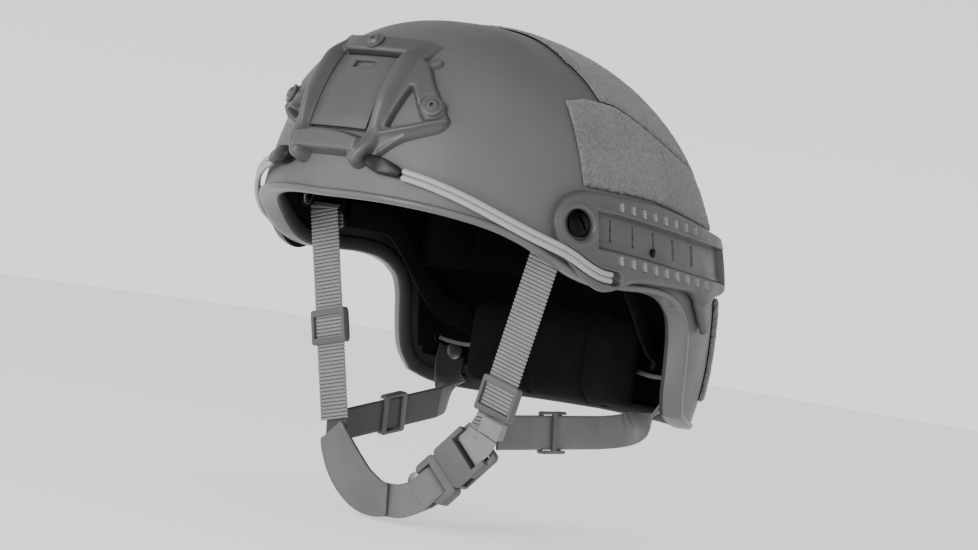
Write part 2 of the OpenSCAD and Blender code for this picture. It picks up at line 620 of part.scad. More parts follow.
module nape_plate() {
  color([0.1, 0.1, 0.1]) difference() {
    translate([0, nape_mid_y, nape_z]) rotate([0, 0, 90 - 34]) rotate_extrude(angle = 68, $fn = 96)
      translate([nape_back_r, -22]) square([plate_t, 44]);
    for (s = [-1, 1]) {
      translate([0, nape_mid_y, nape_z + 10]) rotate([-90, 0, s * -20]) cylinder(r = 6, h = 120);
    }
  }
}
// A lace ties each end of the nape plate to an eyelet on the shell's wall
lace_r = 1.2;
lace_z = -63;
lace_a = 31;
function plate_back(a, z, up) = nape_at(a, nape_back_r + plate_t + up, z);
eye_psi = 131.5;
module nape_lace() {
  wall = above(eye_psi, lace_z, -shell_t - 3.7);
  path = curve([plate_back(lace_a - 3, lace_z, seat + lace_r + 0.1), plate_back(lace_a + 2, lace_z,
    seat + lace_r + 0.5), across([70, 88, lace_z - 1]), across([82, 86.5, lace_z - 0.5]), wall], 2);
  sweep(path, [for (p = path) [0, 0, 1]], [for (a = [0:60:300]) lace_r * [cos(a), sin(a)]]);
}
module nape_laces() {
  color("silver") on_both() nape_lace();
}
module lace_eyelets() {
  color([0.1, 0.1, 0.1]) on_both() aim(above(eye_psi, lace_z, -shell_t - 3.5), dome_normal(eye_psi,
    lace_z)) difference() {
    cylinder(r = 3.6, h = 2.6);
    translate([0, 0, -1]) cylinder(r = lace_r + 1, h = 8);
  }
}
dial_y = nape_mid_y + nape_back_r + plate_t + seat;
dial_z = nape_z - 2;
dial_w = 46;
dial_h = 24;
base_t = 7;
cover_t = 4;
rack_h = 5;
rack_gap = 6.3;
module dial_box(y, t, cut_y, cut_t) {
  difference() {
    translate([0, y, dial_z]) rotate([-90, 0, 0]) linear_extrude(t) offset(r = 4)
      square([dial_w - 8, dial_h - 8], center = true);
    for (s = [-1, 1]) {
      translate([-dial_w, cut_y, dial_z + s * (rack_gap + rack_h / 2 - 0.8) - rack_h / 2 - slip - 0.8])
        cube([2 * dial_w, cut_t, rack_h + 2 * slip + 1.6]);
    }
    translate([0, cut_y, dial_z]) rotate([-90, 0, 0]) cylinder(r = pinion_r + 1.7, h = cut_t);
    translate([0, y - 1, dial_z]) rotate([-90, 0, 0]) cylinder(r = spindle_r + 0.05, h = t + 2);
  }
}
spindle_r = 2.5;
rack_y = dial_y + base_t - rack_t - slip;
module dial_base() {
  color([0.12, 0.12, 0.12]) dial_box(dial_y, base_t, rack_y - slip, rack_t + 2 * slip + 1);
}
module dial_cover() {
  color([0.15, 0.15, 0.15]) translate([0, dial_y + base_t, dial_z]) rotate([-90, 0, 0]) difference() {
    linear_extrude(cover_t) offset(r = 4) square([dial_w - 8, dial_h - 8], center = true);
    translate([0, 0, -1]) cylinder(r = spindle_r + 0.05, h = cover_t + 2);
  }
}
pinion_teeth = 2 * pinion_r;
module dial_pinion() {
  tooth_outer = 0.85;
  tooth_inner = 1.1;
  color("silver") translate([0, rack_y, dial_z]) rotate([-90, 0, 0]) {
    linear_extrude(rack_t) union() {
      circle(r = pinion_r - tooth_inner, $fn = 40);
      for (i = [0:pinion_teeth - 1]) {
        rotate(360 * i / pinion_teeth) polygon([[-0.75, pinion_r - tooth_inner - 0.5],
          [-0.7, pinion_r - 0.4], [-0.28, pinion_r + tooth_outer],
          [0.28, pinion_r + tooth_outer], [0.7, pinion_r - 0.4], [0.75, pinion_r - tooth_inner - 0.5]]);
      }
    }
    translate([0, 0, dial_y - rack_y + 1]) cylinder(r = spindle_r, h = rack_y - dial_y + base_t + cover_t
      - 1 - (rack_y - dial_y) + 5);
  }
}
knob_y = dial_y + base_t + cover_t + slip;
knob_t = 9;
module dial_knob() {
  color([0.1, 0.1, 0.1]) translate([0, knob_y, dial_z]) rotate([-90, 0, 0]) difference() {
    union() {
      cylinder(r = knob_r - 1.6, h = knob_t, $fn = 64);
      for (i = [0:17]) {
        rotate(20 * i) translate([knob_r - 2.4, 0, 0]) cylinder(r = 2.2, h = knob_t - 1);
      }
    }
    translate([0, 0, -1]) cylinder(r = spindle_r, h = 6);
    translate([0, 0, knob_t - 2]) cylinder(r = knob_r - 6, h = 3);
  }
}
rack_len = 56;
// Toothed strip; its teeth point down when side is 1
module rack(side) {
  pitch = PI * pinion_r / (pinion_teeth / 2);
  base = rack_gap + 0.1;
  color([0.16, 0.16, 0.16]) translate([0, rack_y, dial_z]) {
    translate([side > 0 ? -16 : 16 - rack_len, 0, side > 0 ? base : -base - rack_h + 0.2])
      cube([rack_len, rack_t, rack_h - 0.2]);
    for (i = [-4:4]) {
      x = pitch * (i + 0.5);
      rotate([-90, 0, 0]) linear_extrude(rack_t) polygon([[x - 0.62, -side * (base + 0.1)],
        [x - 0.3, -side * (base - 1.75)],
        [x + 0.3, -side * (base - 1.75)], [x + 0.62, -side * (base + 0.1)]]);
    }
  }
}
module rack_left() {
  rack(1);
}
module rack_right() {
  rack(-1);
}
// Head band: a thin strip inside the pads, with a guide at its rear end for the rack
band_h = 15;
band_off = -shell_t - pad_gap - pad_t - 0.3;
band_end_psi = 153.5;
sleeve_in = 29;
sleeve_out = 53;
band_low_z = -47;
function band_z(psi, end_z) = mix(2, band_low_z, fade(psi, 98, 138)) + (end_z - band_low_z) * fade(psi,
  138, 152);
module band(side) {
  psis = [for (i = [0:20]) mix(75, band_end_psi, i / 20)];
  end_z = dial_z + side * (rack_gap + rack_h / 2);
  hole = [sleeve_out - sleeve_in - 1, rack_t + 2 * slip, rack_h + 2 * slip];
  color([0.1, 0.1, 0.1]) {
    slab([for (a = psis) [for (j = [0:2]) on_dome(a, band_z(a, end_z) + (j / 2 - 0.5) * band_h,
      band_off)]],
      [for (a = psis) [for (j = [0:2]) on_dome(a, band_z(a, end_z) + (j / 2 - 0.5) * band_h, band_off
        - 1.6)]]);
    difference() {
      translate([sleeve_in, rack_y - slip - 1.2, end_z - hole[2] / 2 - 1.2]) cube([sleeve_out - sleeve_in,
        hole[1] + 2.4, hole[2] + 2.4]);
      translate([sleeve_in - 1, rack_y - slip, end_z - hole[2] / 2]) cube(hole);
    }
  }
}
module band_left() {
  band(1);
}
module band_right() {
  mirror([1, 0, 0]) band(-1);
}

// Harness. Each front strap hangs straight from its anchor inside the temple to its junction
anchor_reach = 12.28;
anchor_back = 3.62;
anchor_drop = 5.32;
strap_top = above(bolt_psi, bolt_z, -shell_t - anchor_reach) + [0, anchor_back, -anchor_drop];
// Across the harness, hand-placed points keep in step with the shell's width
wide = strap_top[0] / 82.9;
function across(p) = [p[0] * wide, p[1], p[2]];
strap_slope = [-0.2435 * wide, 0.038, -1];
// The chin buckle's own frame: s runs down its axis and n points back to the head
buckle_top = across([57, -41.3, -109]);
buckle_low = across([27.5, -47.8, -143.5]);
buckle_axis = unit(buckle_low - buckle_top);
buckle_x = unit(cross(buckle_axis, [0.12, 1, 0.15]));
buckle_n = cross(buckle_x, buckle_axis);
function buckle_at(s, n) = buckle_top + s * buckle_axis + n * buckle_n;
wound_s = 9.6;
wound_n = 0.9;

function strap_point(z) = strap_top + strap_slope * (strap_top[2] - z);
junction_left_z = -102.5;
junction_right_z = -117;
rear_left_z = -105;
rear_right_z = -119;
strap_across = [1, 0, 0];
bar_r = 1.6;
loop_r = bar_r + slip + strap_t / 2;
// The strap comes up in front of the anchor's bar, over it and down behind it
function strap_loop(p) = [for (a = [0:30:180]) p + [0, -loop_r * cos(a), loop_r * sin(a)]];
anchor_bar = strap_point(strap_top[2]) + [0, loop_r, 0];
function strap_run(low_z) = concat([for (i = [0:2]) strap_point(mix(low_z, strap_top[2] - 0.01, i / 2))],
  strap_loop(anchor_bar),
  [anchor_bar + [-0.05, loop_r, -4], anchor_bar + [-2.2, loop_r - 0.4, -12]]);
// On the left the strap runs on over the buckle's top and round the bar in its window
left_path = concat([buckle_at(5, wound_n + loop_r - 0.1), buckle_at(7.5, wound_n + loop_r)],
  [for (a = [90:-30:-90]) buckle_at(wound_s + loop_r * cos(a), wound_n + loop_r * sin(a))],
  [buckle_at(6.5, -1.65), buckle_at(2.5, -1.5), across([57.9, -42.3, -104])], strap_run(-97.5));
left_turn = 12;
left_sides = [for (i = [0:len(left_path) - 1]) mix(buckle_x, strap_across, fade(i, left_turn - 2.5,
  left_turn + 0.5))];
module front_strap_left() {
  color("darkgray") ribbon(left_path, left_sides, strap_w, strap_t);
}
module front_strap_right() {
  path = strap_run(junction_right_z + 2);
  color("darkgray") mirror([1, 0, 0]) ribbon(path, [for (p = path) strap_across], strap_w, strap_t);
}
module cheek_pin(x, z, r, l) {
  translate(anchor_bar + [x, 0, z]) rotate([0, 90, 0]) cylinder(r = r, h = l);
}
module strap_anchor() {
  n = dome_normal(bolt_psi, bolt_z);
  inner = above(bolt_psi, bolt_z, -shell_t - wall_gap - anchor_plate_t);
  edge = strap_w / 2 + 1.2;
  color([0.12, 0.12, 0.12]) {
    cheek_pin(-edge - 0.6, 0, bar_r, 2 * edge + 1.2);
    difference() {
      hull() {
        aim(inner, n) cylinder(r = 7, h = anchor_plate_t);
        cheek_pin(edge, 0, 2.1, 1.2);
        cheek_pin(edge, 8, 1.5, 1.2);
      }
      aim(inner - 6 * n, n) cylinder(r = bolt_r + seat, h = 12);
      aim(inner - 8 * n, n) cylinder(r = 6.4, h = 8);
    }
    hull() {
      cheek_pin(-edge - 1.2, 0, 2.1, 1.2);
      cheek_pin(-edge - 1.2, 8, 1.5, 1.2);
    }
    cheek_pin(-edge - 0.6, 8, 1.5, 2 * edge + 1.2);
  }
}
module strap_anchor_left() {
  strap_anchor();
}
module strap_anchor_right() {
  mirror([1, 0, 0]) strap_anchor();
}
// Rear straps stand on edge from the junction to a riveted tab inside the ear cut's back corner
rear_anchor_psi = 136;
rear_anchor_z = -71;
rear_strap_w = 19;
rear_strap_x = 57.5 * wide;
rear_front_y = -31;
rear_back_y = 58;
function anchor_point(deep) = above(rear_anchor_psi, rear_anchor_z, -shell_t - deep);
function rear_low(low_z) = [rear_strap_x, rear_front_y, low_z];
rear_bend = [rear_strap_x + 2.4, rear_back_y, -100];
function rear_path(low_z) = concat([rear_low(low_z), mix(rear_low(low_z), rear_bend, 0.5)],
  curve([rear_bend, across([66.5, 75, -96.5]), across([74, 83.5, -89]), across([81.5, 88, -80]),
    anchor_point(2.6)], 3));
module rear_strap(low_z) {
  path = rear_path(low_z);
  m = len(path);
  flat = cross(path[m - 1] - path[m - 2], dome_normal(rear_anchor_psi, rear_anchor_z));
  color([0.3, 0.3, 0.3]) ribbon(path, [for (i = [0:m - 1]) mix([-0.1, 0, 1], unit(flat),
    fade(i, 3, m - 2))], rear_strap_w, strap_t);
}
module rear_strap_left() {
  rear_strap(rear_left_z);
}
module rear_strap_right() {
  mirror([1, 0, 0]) rear_strap(rear_right_z);
}
module rear_anchors() {
  n = dome_normal(rear_anchor_psi, rear_anchor_z);
  color("silver") on_both() aim(anchor_point(6.4), n) {
    cylinder(r = 5, h = 0.9);
    cylinder(r = 2, h = 6.4 + shell_t - 0.5);
    translate([0, 0, 6.4 - 1.7]) cylinder(r = 4.5, h = 1.6);
  }
}

// Ladder slider: two end bars in front of the strap and a middle bar behind it, in one side-walled frame
module slider(w, h) {
  wall = 1.8;
  inner_w = w + 2 * slip + 0.4;
  front = strap_t / 2 + slip;
  bar = 3.6;
  color("gray") {
    difference() {
      linear_extrude(slider_t, center = true) offset(r = 1.5) square([inner_w + 2 * wall - 3, h - 3],
        center = true);
      linear_extrude(slider_t + 2, center = true) square([inner_w, h - 2 * bar], center = true);
      translate([0, 0, front - 10]) linear_extrude(20, center = true) square([inner_w, h + 2],
        center = true);
    }
    translate([-inner_w / 2 - 0.5, -1.9, -front - 1.6]) cube([inner_w + 1, 3.8, 1.6]);
    for (s = [-1, 1]) {
      translate([s * (inner_w / 2 + wall / 2) - wall / 2, -h / 2 + 2, -front - 1.6])
        cube([wall, h - 4, 1.7 + front]);
    }
  }
}
front_slider_left_z = -86.5;
front_slider_right_z = -63.5;
module front_slider(z) {
  strap_frame(strap_point(z), strap_across, -strap_slope) slider(strap_w, slider_h);
}
module front_slider_left() {
  front_slider(front_slider_left_z);
}
module front_slider_right() {
  mirror([1, 0, 0]) front_slider(front_slider_right_z);
}
rear_slider_y = 16;
module rear_slider(low_z) {
  t = (rear_slider_y - rear_front_y) / (rear_back_y - rear_front_y);
  strap_frame(mix(rear_low(low_z), rear_bend, t), [-0.1, 0, 1], rear_bend - rear_low(low_z))
    slider(rear_strap_w, slider_h);
}
module rear_slider_left() {
  rear_slider(rear_left_z);
}
module rear_slider_right() {
  mirror([1, 0, 0]) rear_slider(rear_right_z);
}

// Junctions: a folded sleeve where the front, rear and chin straps are sewn together
module junction_left() {
  p = strap_point(junction_left_z);
  color([0.25, 0.25, 0.25]) difference() {
    hull() {
      translate(p + [4.5, -4.2, 0]) rotate([0, 14, 0]) cube([15, 1.2, 9], center = true);
      translate(p + [4.5, -0.4, 0]) rotate([0, 14, 0]) cube([15, 2, 9], center = true);
      translate([rear_strap_x + 0.3, rear_front_y - 2.9, rear_left_z + 2.5]) cube([5, 4, 10],
        center = true);
    }
    ribbon(left_path, left_sides, strap_w + 2 * seat, strap_t + 2 * seat);
  }
}
module junction_right() {
  p = mirrored(strap_point(junction_right_z)) + [0.5, strap_t / 2 + seat, 0];
  color([0.25, 0.25, 0.25]) hull() {
    translate(p + [0, 1.2, -1]) rotate([0, -14, 0]) cube([15, 1.6, 13], center = true);
    translate([-rear_strap_x - 0.3, rear_front_y - 4.3, rear_right_z]) cube([5, 4, rear_strap_w - 3],
      center = true);
  }
}

// Side-release buckle on the wearer's left, its axis running down to the chin
buckle_w = 27;
buckle_t = 8.4;
socket_len = 28;
plug_len = 14;
module buckle_frame() {
  strap_frame(buckle_top, buckle_x, buckle_axis) children();
}
module rounded_bar(w, l, t, r) {
  translate([0, l / 2, 0]) linear_extrude(t, center = true) offset(r = r) square([w - 2 * r, l - 2 * r],
    center = true);
}
module buckle_socket() {
  color("gray") buckle_frame() {
    difference() {
      rounded_bar(buckle_w, socket_len, buckle_t, 3);
      translate([-buckle_w, -1, -buckle_t]) cube([2 * buckle_w, 7, buckle_t]);
      translate([-strap_w / 2 - 0.5, 3.2, -buckle_t]) cube([strap_w + 1, 11, 2 * buckle_t]);
      translate([-buckle_w / 2 + 3.4, 16.5, -buckle_t / 2 + 1.7]) cube([buckle_w - 6.8, socket_len,
        buckle_t - 3.4]);
      for (s = [-1, 1]) {
        translate([s * buckle_w / 2 - 4, 17.5, -2.5]) cube([8, 7, 5]);
      }
    }
    translate([-strap_w / 2 - 1, wound_s, wound_n]) rotate([0, 90, 0]) cylinder(r = bar_r, h = strap_w
      + 2);
  }
}
plug_y = socket_len + slip;
bar_y = plug_y + plug_len - 1.8;
module buckle_plug() {
  color("gray") buckle_frame() {
    difference() {
      translate([0, plug_y, 0]) rounded_bar(buckle_w, plug_len, buckle_t - 0.8, 3);
      translate([-strap_w / 2 + 0.4, plug_y + 5, -5]) cube([strap_w - 0.8, plug_len, 10]);
    }
    translate([-2.2, 17.5, -1.9]) cube([4.4, plug_y - 15, 3.8]);
    translate([-strap_w / 2 - 1, bar_y, 0]) rotate([0, 90, 0]) cylinder(r = bar_r, h = strap_w + 2);
  }
}
// One sprung prong on a round root, its sloping barb in the socket's side window
prong_root = [8, plug_y - 1.7];
module prong() {
  color("dimgray") linear_extrude(3.4, center = true) union() {
    translate(prong_root) circle(r = 1.4);
    polygon([[7.2, 23], [8.4, 17.7], [10.3, 17.7], [11.1, 18.7], [9.85, 24.5], [9.35, 26.8],
      [6.8, 26.8]]);
  }
}
module buckle_prong_upper() {
  buckle_frame() prong();
}
module buckle_prong_lower() {
  buckle_frame() mirror([1, 0, 0]) prong();
}

// Chin cup: a dished band under the chin from the right junction to the buckle
cup_path = curve([for (p = [[-54.3, -38.6, -121], [-49, -42, -127.5], [-41, -46, -134.5],
  [-30, -49.5, -142],
  [-17, -51.8, -148.5], [-4, -52.5, -151.5], [6, -52.2, -151.5]]) across(p)], 2);
function cup_side(i) = let (m = len(cup_path), t = cup_path[min(i + 1, m - 1)] - cup_path[max(i - 1, 0)])
  unit(cross(unit(t), [0, 1, 0.12]));
function cup_width(i) = let (u = i / (len(cup_path) - 1)) mix(strap_w - 2, cup_w + 2,
  sin(180 * min(u * 1.05, 1)));
module cup_band(t, out, shrink, dish, first, last) {
  m = len(cup_path);
  cols = 6;
  rows = [for (i = [first:m - 1 - last]) let (w = cup_width(i) - shrink, s = cup_side(i),
    d = dish * sin(180 * i / (m - 1)))
    [for (j = [0:cols]) let (v = 2 * j / cols - 1) cup_path[i] + s * v * w / 2 + [0, d * v * v + out,
      0]]];
  slab([for (r = rows) [for (p = r) p - [0, t, 0]]], rows);
}
module chin_cup() {
  color([0.33, 0.33, 0.33]) cup_band(1.6, 0, 0, 4, 0, 0);
}
module chin_cup_pad() {
  color([0.1, 0.1, 0.1]) cup_band(2.4, 2.4 + seat, 4, 4, 3, 3);
}
// From the cup the strap runs behind it to the plug and round the plug's end bar
turn_back = [for (a = [90:30:270]) buckle_at(bar_y + loop_r * cos(a), loop_r * sin(a))];
module plug_strap() {
  path = concat([buckle_at(bar_y + 9, -3.1), buckle_at(bar_y + 4.5, -3)], flip(turn_back),
    curve([buckle_at(bar_y + 5, 2.2),
    across([20.5, -48.3, -147.5]), across([13.5, -49.9, -150.8]), across([6, -50.4, -151.6]),
      across([0.5, -50.5, -151.6])], 2));
  color("darkgray") ribbon(path, [for (i = [0:len(path) - 1]) mix(buckle_x, [0.1, 0.1, -1],
    fade(i, 9, 16))], strap_w - 2, strap_t);
}
module chin_snap() {
  color("silver") translate(across([16.4, -44.9, -138.6])) rotate([-90, 0, 0]) difference() {
    union() {
      cylinder(r = 4.6, h = 1.2);
      cylinder(r = 2.8, h = 2.4);
    }
    translate([0, 0, 1.6]) cylinder(r = 1.4, h = 2);
  }
}

// Bungee cords run from hooks on the shroud's feet to the front lobe of each rail, doubled
bungee_r = 1.6;
bungee_lobe = [[58.5, -2.6], [61, -4.2], [64, -6.6], [67, -9.5], [70, -11.8], [73, -13.2], [76.5, -13.6]];
bungee_route = concat([[20.5, 22.3, 4.6], [27, 19.5, 4.2], [35, 14.5, 4], [44, 7.5, 4.2], [52, 1.5, 5.2]],
  [for (p = bungee_lobe) [p[0], p[1], rail_t - 0.7]]);
module bungee_cord() {
  spots = curve([for (p = bungee_route) on_dome(p[0], p[1], p[2])], 2);
  m = len(spots);
  color("silver") for (s = [-1, 1]) {
    path = [for (i = [0:m - 1]) spots[i] + [0, 0, s * (bungee_r + 0.05)]];
    sweep(path, [for (p = path) [0, 0, 1]], [for (a = [0:60:300]) bungee_r * [cos(a), sin(a)]]);
  }
}
module bungee_cord_left() {
  bungee_cord();
}
module bungee_cord_right() {
  mirror([1, 0, 0]) bungee_cord();
}
module bungee_hook() {
  color([0.07, 0.07, 0.07]) {
    hull() {
      aim(on_dome(12.7, 26.2, 2.2), dome_normal(12.7, 26)) cylinder(r = 3.4, h = 4.6, $fn = 24);
      aim(on_dome(14.6, 25, 1.4), dome_normal(14.6, 25)) cylinder(r = 4.2, h = 6.4, $fn = 24);
    }
    hull() {
      aim(on_dome(14.6, 25, 1.4), dome_normal(14.6, 25)) cylinder(r = 4.2, h = 6.4, $fn = 24);
      aim(on_dome(19, 22.8, 1.6), dome_normal(19, 22.8)) cylinder(r = 2.9, h = 5.6, $fn = 24);
    }
  }
}
module bungee_hook_left() {
  bungee_hook();
}
module bungee_hook_right() {
  mirror([1, 0, 0]) bungee_hook();
}

shell();
edge_trim();
shroud();
shroud_lock_plate();
shroud_screws();
rail_left();
rail_right();
rail_bolts();
rail_rear_screws();
rail_nuts();
loop_crown();
loop_side_left();
loop_side_right();
loop_rear();
liner_cap();
pad_crown();
pad_front();
pad_side_left();
pad_side_right();
pad_rear_left();
pad_rear_right();
pad_rear_middle();
nape_pad();
nape_plate();
dial_base();
dial_cover();
dial_knob();
dial_pinion();
rack_left();
rack_right();
band_left();
band_right();
strap_anchor_left();
strap_anchor_right();
rear_anchors();
front_strap_left();
front_strap_right();
rear_strap_left();
rear_strap_right();
nape_laces();
lace_eyelets();
front_slider_left();
front_slider_right();
rear_slider_left();
rear_slider_right();
junction_left();
junction_right();
buckle_socket();
buckle_plug();
buckle_prong_upper();
buckle_prong_lower();
plug_strap();
chin_cup();
chin_cup_pad();
chin_snap();
bungee_hook_left();
bungee_hook_right();
bungee_cord_left();
bungee_cord_right();
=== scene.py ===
import json
import math

import bmesh
import bpy
import numpy as np
from mathutils import Matrix, Vector


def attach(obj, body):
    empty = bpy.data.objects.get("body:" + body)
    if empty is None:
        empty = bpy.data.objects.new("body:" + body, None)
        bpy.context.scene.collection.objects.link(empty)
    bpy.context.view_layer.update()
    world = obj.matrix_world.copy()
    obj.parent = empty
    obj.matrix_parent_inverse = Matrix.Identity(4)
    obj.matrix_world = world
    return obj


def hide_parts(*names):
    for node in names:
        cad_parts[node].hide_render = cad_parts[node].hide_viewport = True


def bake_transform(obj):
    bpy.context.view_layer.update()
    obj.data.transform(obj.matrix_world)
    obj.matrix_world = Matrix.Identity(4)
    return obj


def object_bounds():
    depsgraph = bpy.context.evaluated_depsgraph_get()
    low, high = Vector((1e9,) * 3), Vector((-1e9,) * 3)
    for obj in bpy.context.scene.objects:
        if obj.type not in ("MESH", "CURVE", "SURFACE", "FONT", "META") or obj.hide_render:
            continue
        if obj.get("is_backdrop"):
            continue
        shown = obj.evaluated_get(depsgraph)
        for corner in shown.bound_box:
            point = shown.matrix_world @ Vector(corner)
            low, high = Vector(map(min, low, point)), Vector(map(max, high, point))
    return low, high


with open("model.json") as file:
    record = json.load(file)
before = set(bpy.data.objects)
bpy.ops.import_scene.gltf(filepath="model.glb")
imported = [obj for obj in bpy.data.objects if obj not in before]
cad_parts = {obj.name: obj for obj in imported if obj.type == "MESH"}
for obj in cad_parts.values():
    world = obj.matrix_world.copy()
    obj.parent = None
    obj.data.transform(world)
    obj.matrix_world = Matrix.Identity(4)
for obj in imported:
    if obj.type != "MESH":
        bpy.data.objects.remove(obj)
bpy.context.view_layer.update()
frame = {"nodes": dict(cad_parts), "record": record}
NODES = frame["nodes"]
scene = bpy.context.scene
MM = 0.001
RNG = np.random.default_rng(7)

# Camera: at the photograph's angle, rolled as the photograph is
CAM_TARGET = (0.0, 12.57, -20.69)
CAM_DISTANCE = 1370.0
CAM_AZIMUTH = 38.75
CAM_ELEVATION = -0.55
CAM_ROLL = 8.80
CAM_LENS = 88.34

# The shell's form in mm: half width, front and rear reach, crown and the curve of its plan and profile
HALF_W, FRONT, REAR, CROWN = 111.0, 137.5, 150.0, 115.0
WAIST_Z, ROUND_UP, ROUND_FRONT, ROUND_REAR = -49.0, 2.45, 2.05, 2.9
LOWER_TAPER, CROWN_SHIFT = 0.2, -27.0
SHELL_T, TRIM_T, TRIM_LAP, TRIM_LIP, SEAT = 8.0, 1.4, 6.0, 1.8, 0.2


def rise(z, off):
    return np.clip((z - WAIST_Z) / (CROWN - WAIST_Z + off), 0, 1)


def level_shift(z):
    return CROWN_SHIFT * rise(z, 0) ** 2


def plan_r(psi, off):
    a = np.radians(psi)
    n = ROUND_FRONT + (ROUND_REAR - ROUND_FRONT) * (1 - np.cos(a)) / 2
    half_l = np.where(np.cos(a) > 0, FRONT, REAR) + off
    return ((np.abs(np.sin(a)) / (HALF_W + off)) ** n + (np.abs(np.cos(a)) / half_l) ** n) ** (-1 / n)


def share(z, off):
    """The share of its full plan that the dome keeps at a height."""
    return (1 - rise(z, off) ** ROUND_UP) ** (1 / ROUND_UP)


def on_dome(psi, z, off=0.0):
    """A point off mm outside the shell's outer face; psi is 0 at the front and 90 at the wearer's left."""
    psi, z, off = np.broadcast_arrays(*(np.asarray(v, float) for v in (psi, z, off)))
    down = 1 - LOWER_TAPER * ((WAIST_Z - z) / 100) ** 2
    r = plan_r(psi, off) * np.where(z >= WAIST_Z, share(z, off), down)
    a = np.radians(psi)
    return np.stack([r * np.sin(a), level_shift(z) - r * np.cos(a), z], -1)


def unit(v):
    v = np.asarray(v, float)
    return v / np.maximum(np.linalg.norm(v, axis=-1, keepdims=True), 1e-9)


def dome_normal(psi, z):
    psi, z = np.asarray(psi, float), np.asarray(z, float)
    across = on_dome(psi + 0.5, z) - on_dome(psi - 0.5, z)
    return unit(np.cross(across, on_dome(psi, z + 0.5) - on_dome(psi, z - 0.5)))


def above(psi, z, h):
    return on_dome(psi, z) + np.asarray(h, float)[..., None] * dome_normal(psi, z)


def halve(test, lo, hi, shape):
    """The value between lo and hi where test stops being true, for every entry of an array."""
    lo, hi = np.full(shape, float(lo)), np.full(shape, float(hi))
    for _ in range(18):
        mid = (lo + hi) / 2
        keep = test(mid)
        lo, hi = np.where(keep, mid, lo), np.where(keep, hi, mid)
    return (lo + hi) / 2


def front_psi(x, z):
    x, z = np.broadcast_arrays(np.asarray(x, float), np.asarray(z, float))
    found = halve(lambda a: on_dome(a, z)[..., 0] < np.abs(x), 0, 80, x.shape)
    return np.sign(x) * found


def on_top(x, y, off):
    """The point of the dome over x and y, off mm outside the shell's outer face."""
    x, y, off = np.broadcast_arrays(*(np.asarray(v, float) for v in (x, y, off)))

    def within(z):
        dy = y - level_shift(z)
        return np.hypot(x, dy) < plan_r(np.degrees(np.arctan2(x, -dy)), off) * share(z, off)

    return np.stack([x, y, halve(within, 0, 130, x.shape)], -1)


def settle(p, off):
    """The point at p's height and angle, off mm outside the shell."""
    p = np.asarray(p, float)
    dy = p[..., 1] - level_shift(p[..., 2])
    return on_dome(np.degrees(np.arctan2(p[..., 0], -dy)), p[..., 2], off)


def mix(a, b, t):
    return a + (b - a) * t


def fade(v, lo, hi):
    t = np.clip((np.asarray(v, float) - lo) / (hi - lo), 0, 1)
    return t * t * (3 - 2 * t)


def curve(points, steps):
    """Catmull-Rom through points, steps to each stretch."""
    p = np.asarray(points, float)
    out = []
    for i in range(len(p) - 1):
        a, b, c, d = p[max(i - 1, 0)], p[i], p[i + 1], p[min(i + 2, len(p) - 1)]
        for k in range(steps):
            t = k / steps
            square, cube = 2 * a - 5 * b + 4 * c - d, 3 * b - a - 3 * c + d
            out.append(0.5 * (2 * b + (c - a) * t + square * t * t + cube * t**3))
    return np.array(out + [p[-1]])


def mirrored(p):
    return np.asarray(p, float) * np.array([-1.0, 1.0, 1.0])


# Mesh makers, all from points in mm


def placed(name, data):
    """A new object in the scene."""
    obj = bpy.data.objects.new(name, data)
    scene.collection.objects.link(obj)
    return obj


def mesh_object(name, points, faces, smooth=True):
    mesh = bpy.data.meshes.new(name)
    places = (np.asarray(points, float).reshape(-1, 3) * MM).tolist()
    mesh.from_pydata(places, [], [list(map(int, f)) for f in faces])
    bm = bmesh.new()
    bm.from_mesh(mesh)
    bmesh.ops.remove_doubles(bm, verts=bm.verts, dist=1e-6)
    bmesh.ops.recalc_face_normals(bm, faces=bm.faces)
    bm.to_mesh(mesh)
    bm.free()
    if smooth:
        mesh.shade_smooth()
    return placed(name, mesh)


def numbered(rows, cols):
    return np.arange(rows * cols).reshape(rows, cols)


def quads_of(ids):
    """The faces of a grid of point numbers."""
    return np.stack([ids[:-1, :-1], ids[:-1, 1:], ids[1:, 1:], ids[1:, :-1]], -1).reshape(-1, 4)


def ring_quads(ids):
    """The faces of a grid of point numbers whose last column joins the first."""
    after = np.roll(ids, -1, axis=1)
    return np.stack([ids[:-1], after[:-1], after[1:], ids[1:]], -1).reshape(-1, 4)


def rim_of(ids):
    return np.concatenate([ids[0, :-1], ids[:-1, -1], ids[-1, :0:-1], ids[:0:-1, 0]])


def slab(name, outer, inner):
    """A closed sheet between two grids of points."""
    ids = numbered(*outer.shape[:2])
    quads, rim = quads_of(ids), rim_of(ids)
    after = np.roll(rim, -1)
    walls = np.stack([after, rim, rim + ids.size, after + ids.size], -1)
    faces = np.concatenate([quads, quads[:, ::-1] + ids.size, walls])
    return mesh_object(name, np.concatenate([outer.reshape(-1, 3), inner.reshape(-1, 3)]), faces)


def relief(name, outer, floor_rim):
    """A skin over a grid of points with walls down to a rim, open where it lies on what carries it."""
    ids = numbered(*outer.shape[:2])
    rim = rim_of(ids)
    low = ids.size + np.arange(len(rim))
    walls = np.stack([np.roll(rim, -1), rim, low, np.roll(low, -1)], -1)
    points = np.concatenate([outer.reshape(-1, 3), floor_rim.reshape(-1, 3)[rim]])
    return mesh_object(name, points, np.concatenate([quads_of(ids), walls]))


def tube(name, sections, ring=False):
    """A closed bar through sections, an array of rings of points."""
    ids = numbered(*sections.shape[:2])
    if ring:
        faces = ring_quads(np.concatenate([ids, ids[:1]]))
    else:
        faces = [*ring_quads(ids), ids[0], ids[-1][::-1]]
    return mesh_object(name, sections.reshape(-1, 3), faces)


